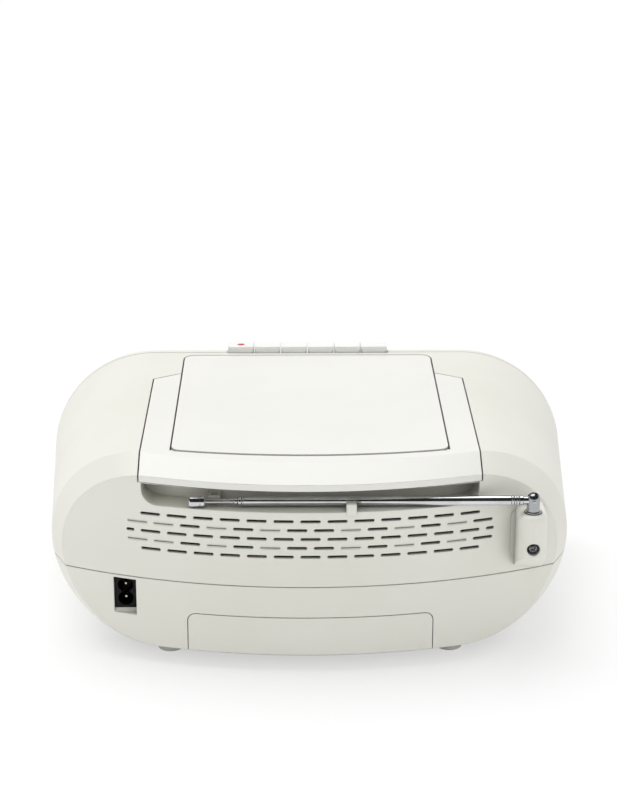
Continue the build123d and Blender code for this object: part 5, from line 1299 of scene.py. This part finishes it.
@dataclass
class Studio:
    """Pale floor, one broad soft sun, pale surround and the camera of the photograph, in metres."""

    eye: Place = (0.010905, 1.163154, 0.505648)
    tilt: float = 17.666
    yaw: float = -0.545
    lens: float = 86.12
    sensor: float = 36.0
    clip: Point = (0.02, 100.0)
    floor_size: float = 60.0
    sky: float = 0.63
    sky_colour: tuple[float, float, float, float] = (0.985, 0.995, 1, 1)
    flag_towards: Place = (0.0, 0.292, 0.956)
    flag_edge: Point = (0.24, 0.4)
    flag_light: Point = (0.9, 0.03)
    sun: float = 1.5
    sun_angle: float = 50.0
    sun_gloss: float = 0.6
    sun_from: Place = (0.2, -0.25, 1.0)

    def build(self) -> Pieces:
        """Makes the camera, surround, sun and floor.

        Returns:
            The floor.
        """
        bpy.context.scene.view_settings.view_transform = "Standard"
        self.camera()
        floor = self.floor()
        self.surround()
        self.soft_sun()
        return [floor]

    def camera(self) -> None:
        """Sets the camera where the photograph was taken from."""
        data = bpy.data.cameras.new("camera")
        data.lens = self.lens
        data.sensor_width = self.sensor
        data.clip_start, data.clip_end = self.clip
        eye = bpy.data.objects.new("camera", data)
        bpy.context.scene.collection.objects.link(eye)
        tilt, yaw = math.radians(self.tilt), math.radians(self.yaw)
        look = Vector((math.sin(yaw) * math.cos(tilt), -math.cos(yaw) * math.cos(tilt), -math.sin(tilt)))
        turn = look.to_track_quat("-Z", "Y").to_matrix().to_4x4()
        eye.matrix_world = Matrix.Translation(self.eye) @ turn
        bpy.context.scene.camera = eye

    def floor(self) -> Piece:
        """Lays the paper floor.

        Returns:
            The floor.
        """
        bpy.ops.mesh.primitive_plane_add(size=self.floor_size)
        floor = bpy.context.object
        floor.name = "studio_floor"
        floor.data.materials.append(PAPER_SWEEP.material())
        return floor

    def surround(self) -> None:
        """Gives the world a pale colour: white to the camera, and dark overhead in reflections."""
        world = bpy.data.worlds.new("pale_surround")
        bpy.context.scene.world = world
        world.use_nodes = True
        tree = world.node_tree
        tree.nodes.clear()
        ray = add_node(tree, "ShaderNodeLightPath").node.outputs
        place = add_node(tree, "ShaderNodeTexCoord", output="Generated")
        flag = {0: place, 1: self.flag_towards}
        near = add_node(tree, "ShaderNodeVectorMath", flag, "Value", operation="DOT_PRODUCT")
        # The flag gives chrome its dark band: the unlit ceiling, a little to the rear of overhead.
        (start, end), (light, dark) = self.flag_edge, self.flag_light
        fall = {"Value": near, "From Min": start, "From Max": end, "To Min": light, "To Max": dark}
        ceiling = add_node(tree, "ShaderNodeMapRange", fall, interpolation_type="SMOOTHSTEP")
        room = add_node(tree, "ShaderNodeBackground", {"Color": ceiling})
        white = add_node(tree, "ShaderNodeBackground", {"Color": (1, 1, 1, 1), "Strength": 1.0})
        sky = add_node(tree, "ShaderNodeBackground", {"Color": self.sky_colour, "Strength": self.sky})
        shiny = add_node(tree, "ShaderNodeMixShader", {0: ray["Is Glossy Ray"], 1: sky, 2: room})
        rays = {0: ray["Is Camera Ray"], 1: ray["Is Transmission Ray"]}
        direct = add_node(tree, "ShaderNodeMath", rays, operation="MAXIMUM")
        seen = add_node(tree, "ShaderNodeMixShader", {0: direct, 1: shiny, 2: white})
        output = tree.nodes.new("ShaderNodeOutputWorld")
        tree.links.new(seen, output.inputs["Surface"])

    def soft_sun(self) -> None:
        """Hangs one broad sun, so that the whole floor is lit alike."""
        data = bpy.data.lights.new("soft_sun", "SUN")
        data.energy = self.sun
        data.angle = math.radians(self.sun_angle)
        data.specular_factor = self.sun_gloss
        lamp = bpy.data.objects.new("soft_sun", data)
        bpy.context.scene.collection.objects.link(lamp)
        lamp.matrix_world = (-Vector(self.sun_from)).to_track_quat("-Z", "Y").to_matrix().to_4x4()


def main() -> None:
    """Builds the studio and every sub-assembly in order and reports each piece."""
    logging.basicConfig(level=logging.INFO, format="%(name)s: %(message)s")
    parts = (
        Studio(),
        Shells(),
        Aerial(),
        Vents(),
        Screws(),
        Inlet(),
        Signs(),
        Display(),
        Speakers(),
        DiscDrive(),
    )
    for part in parts:
        for piece in part.build():
            LOG.info("%s: %s", type(part).__name__, piece.name)


if __name__ == "__main__":
    main()
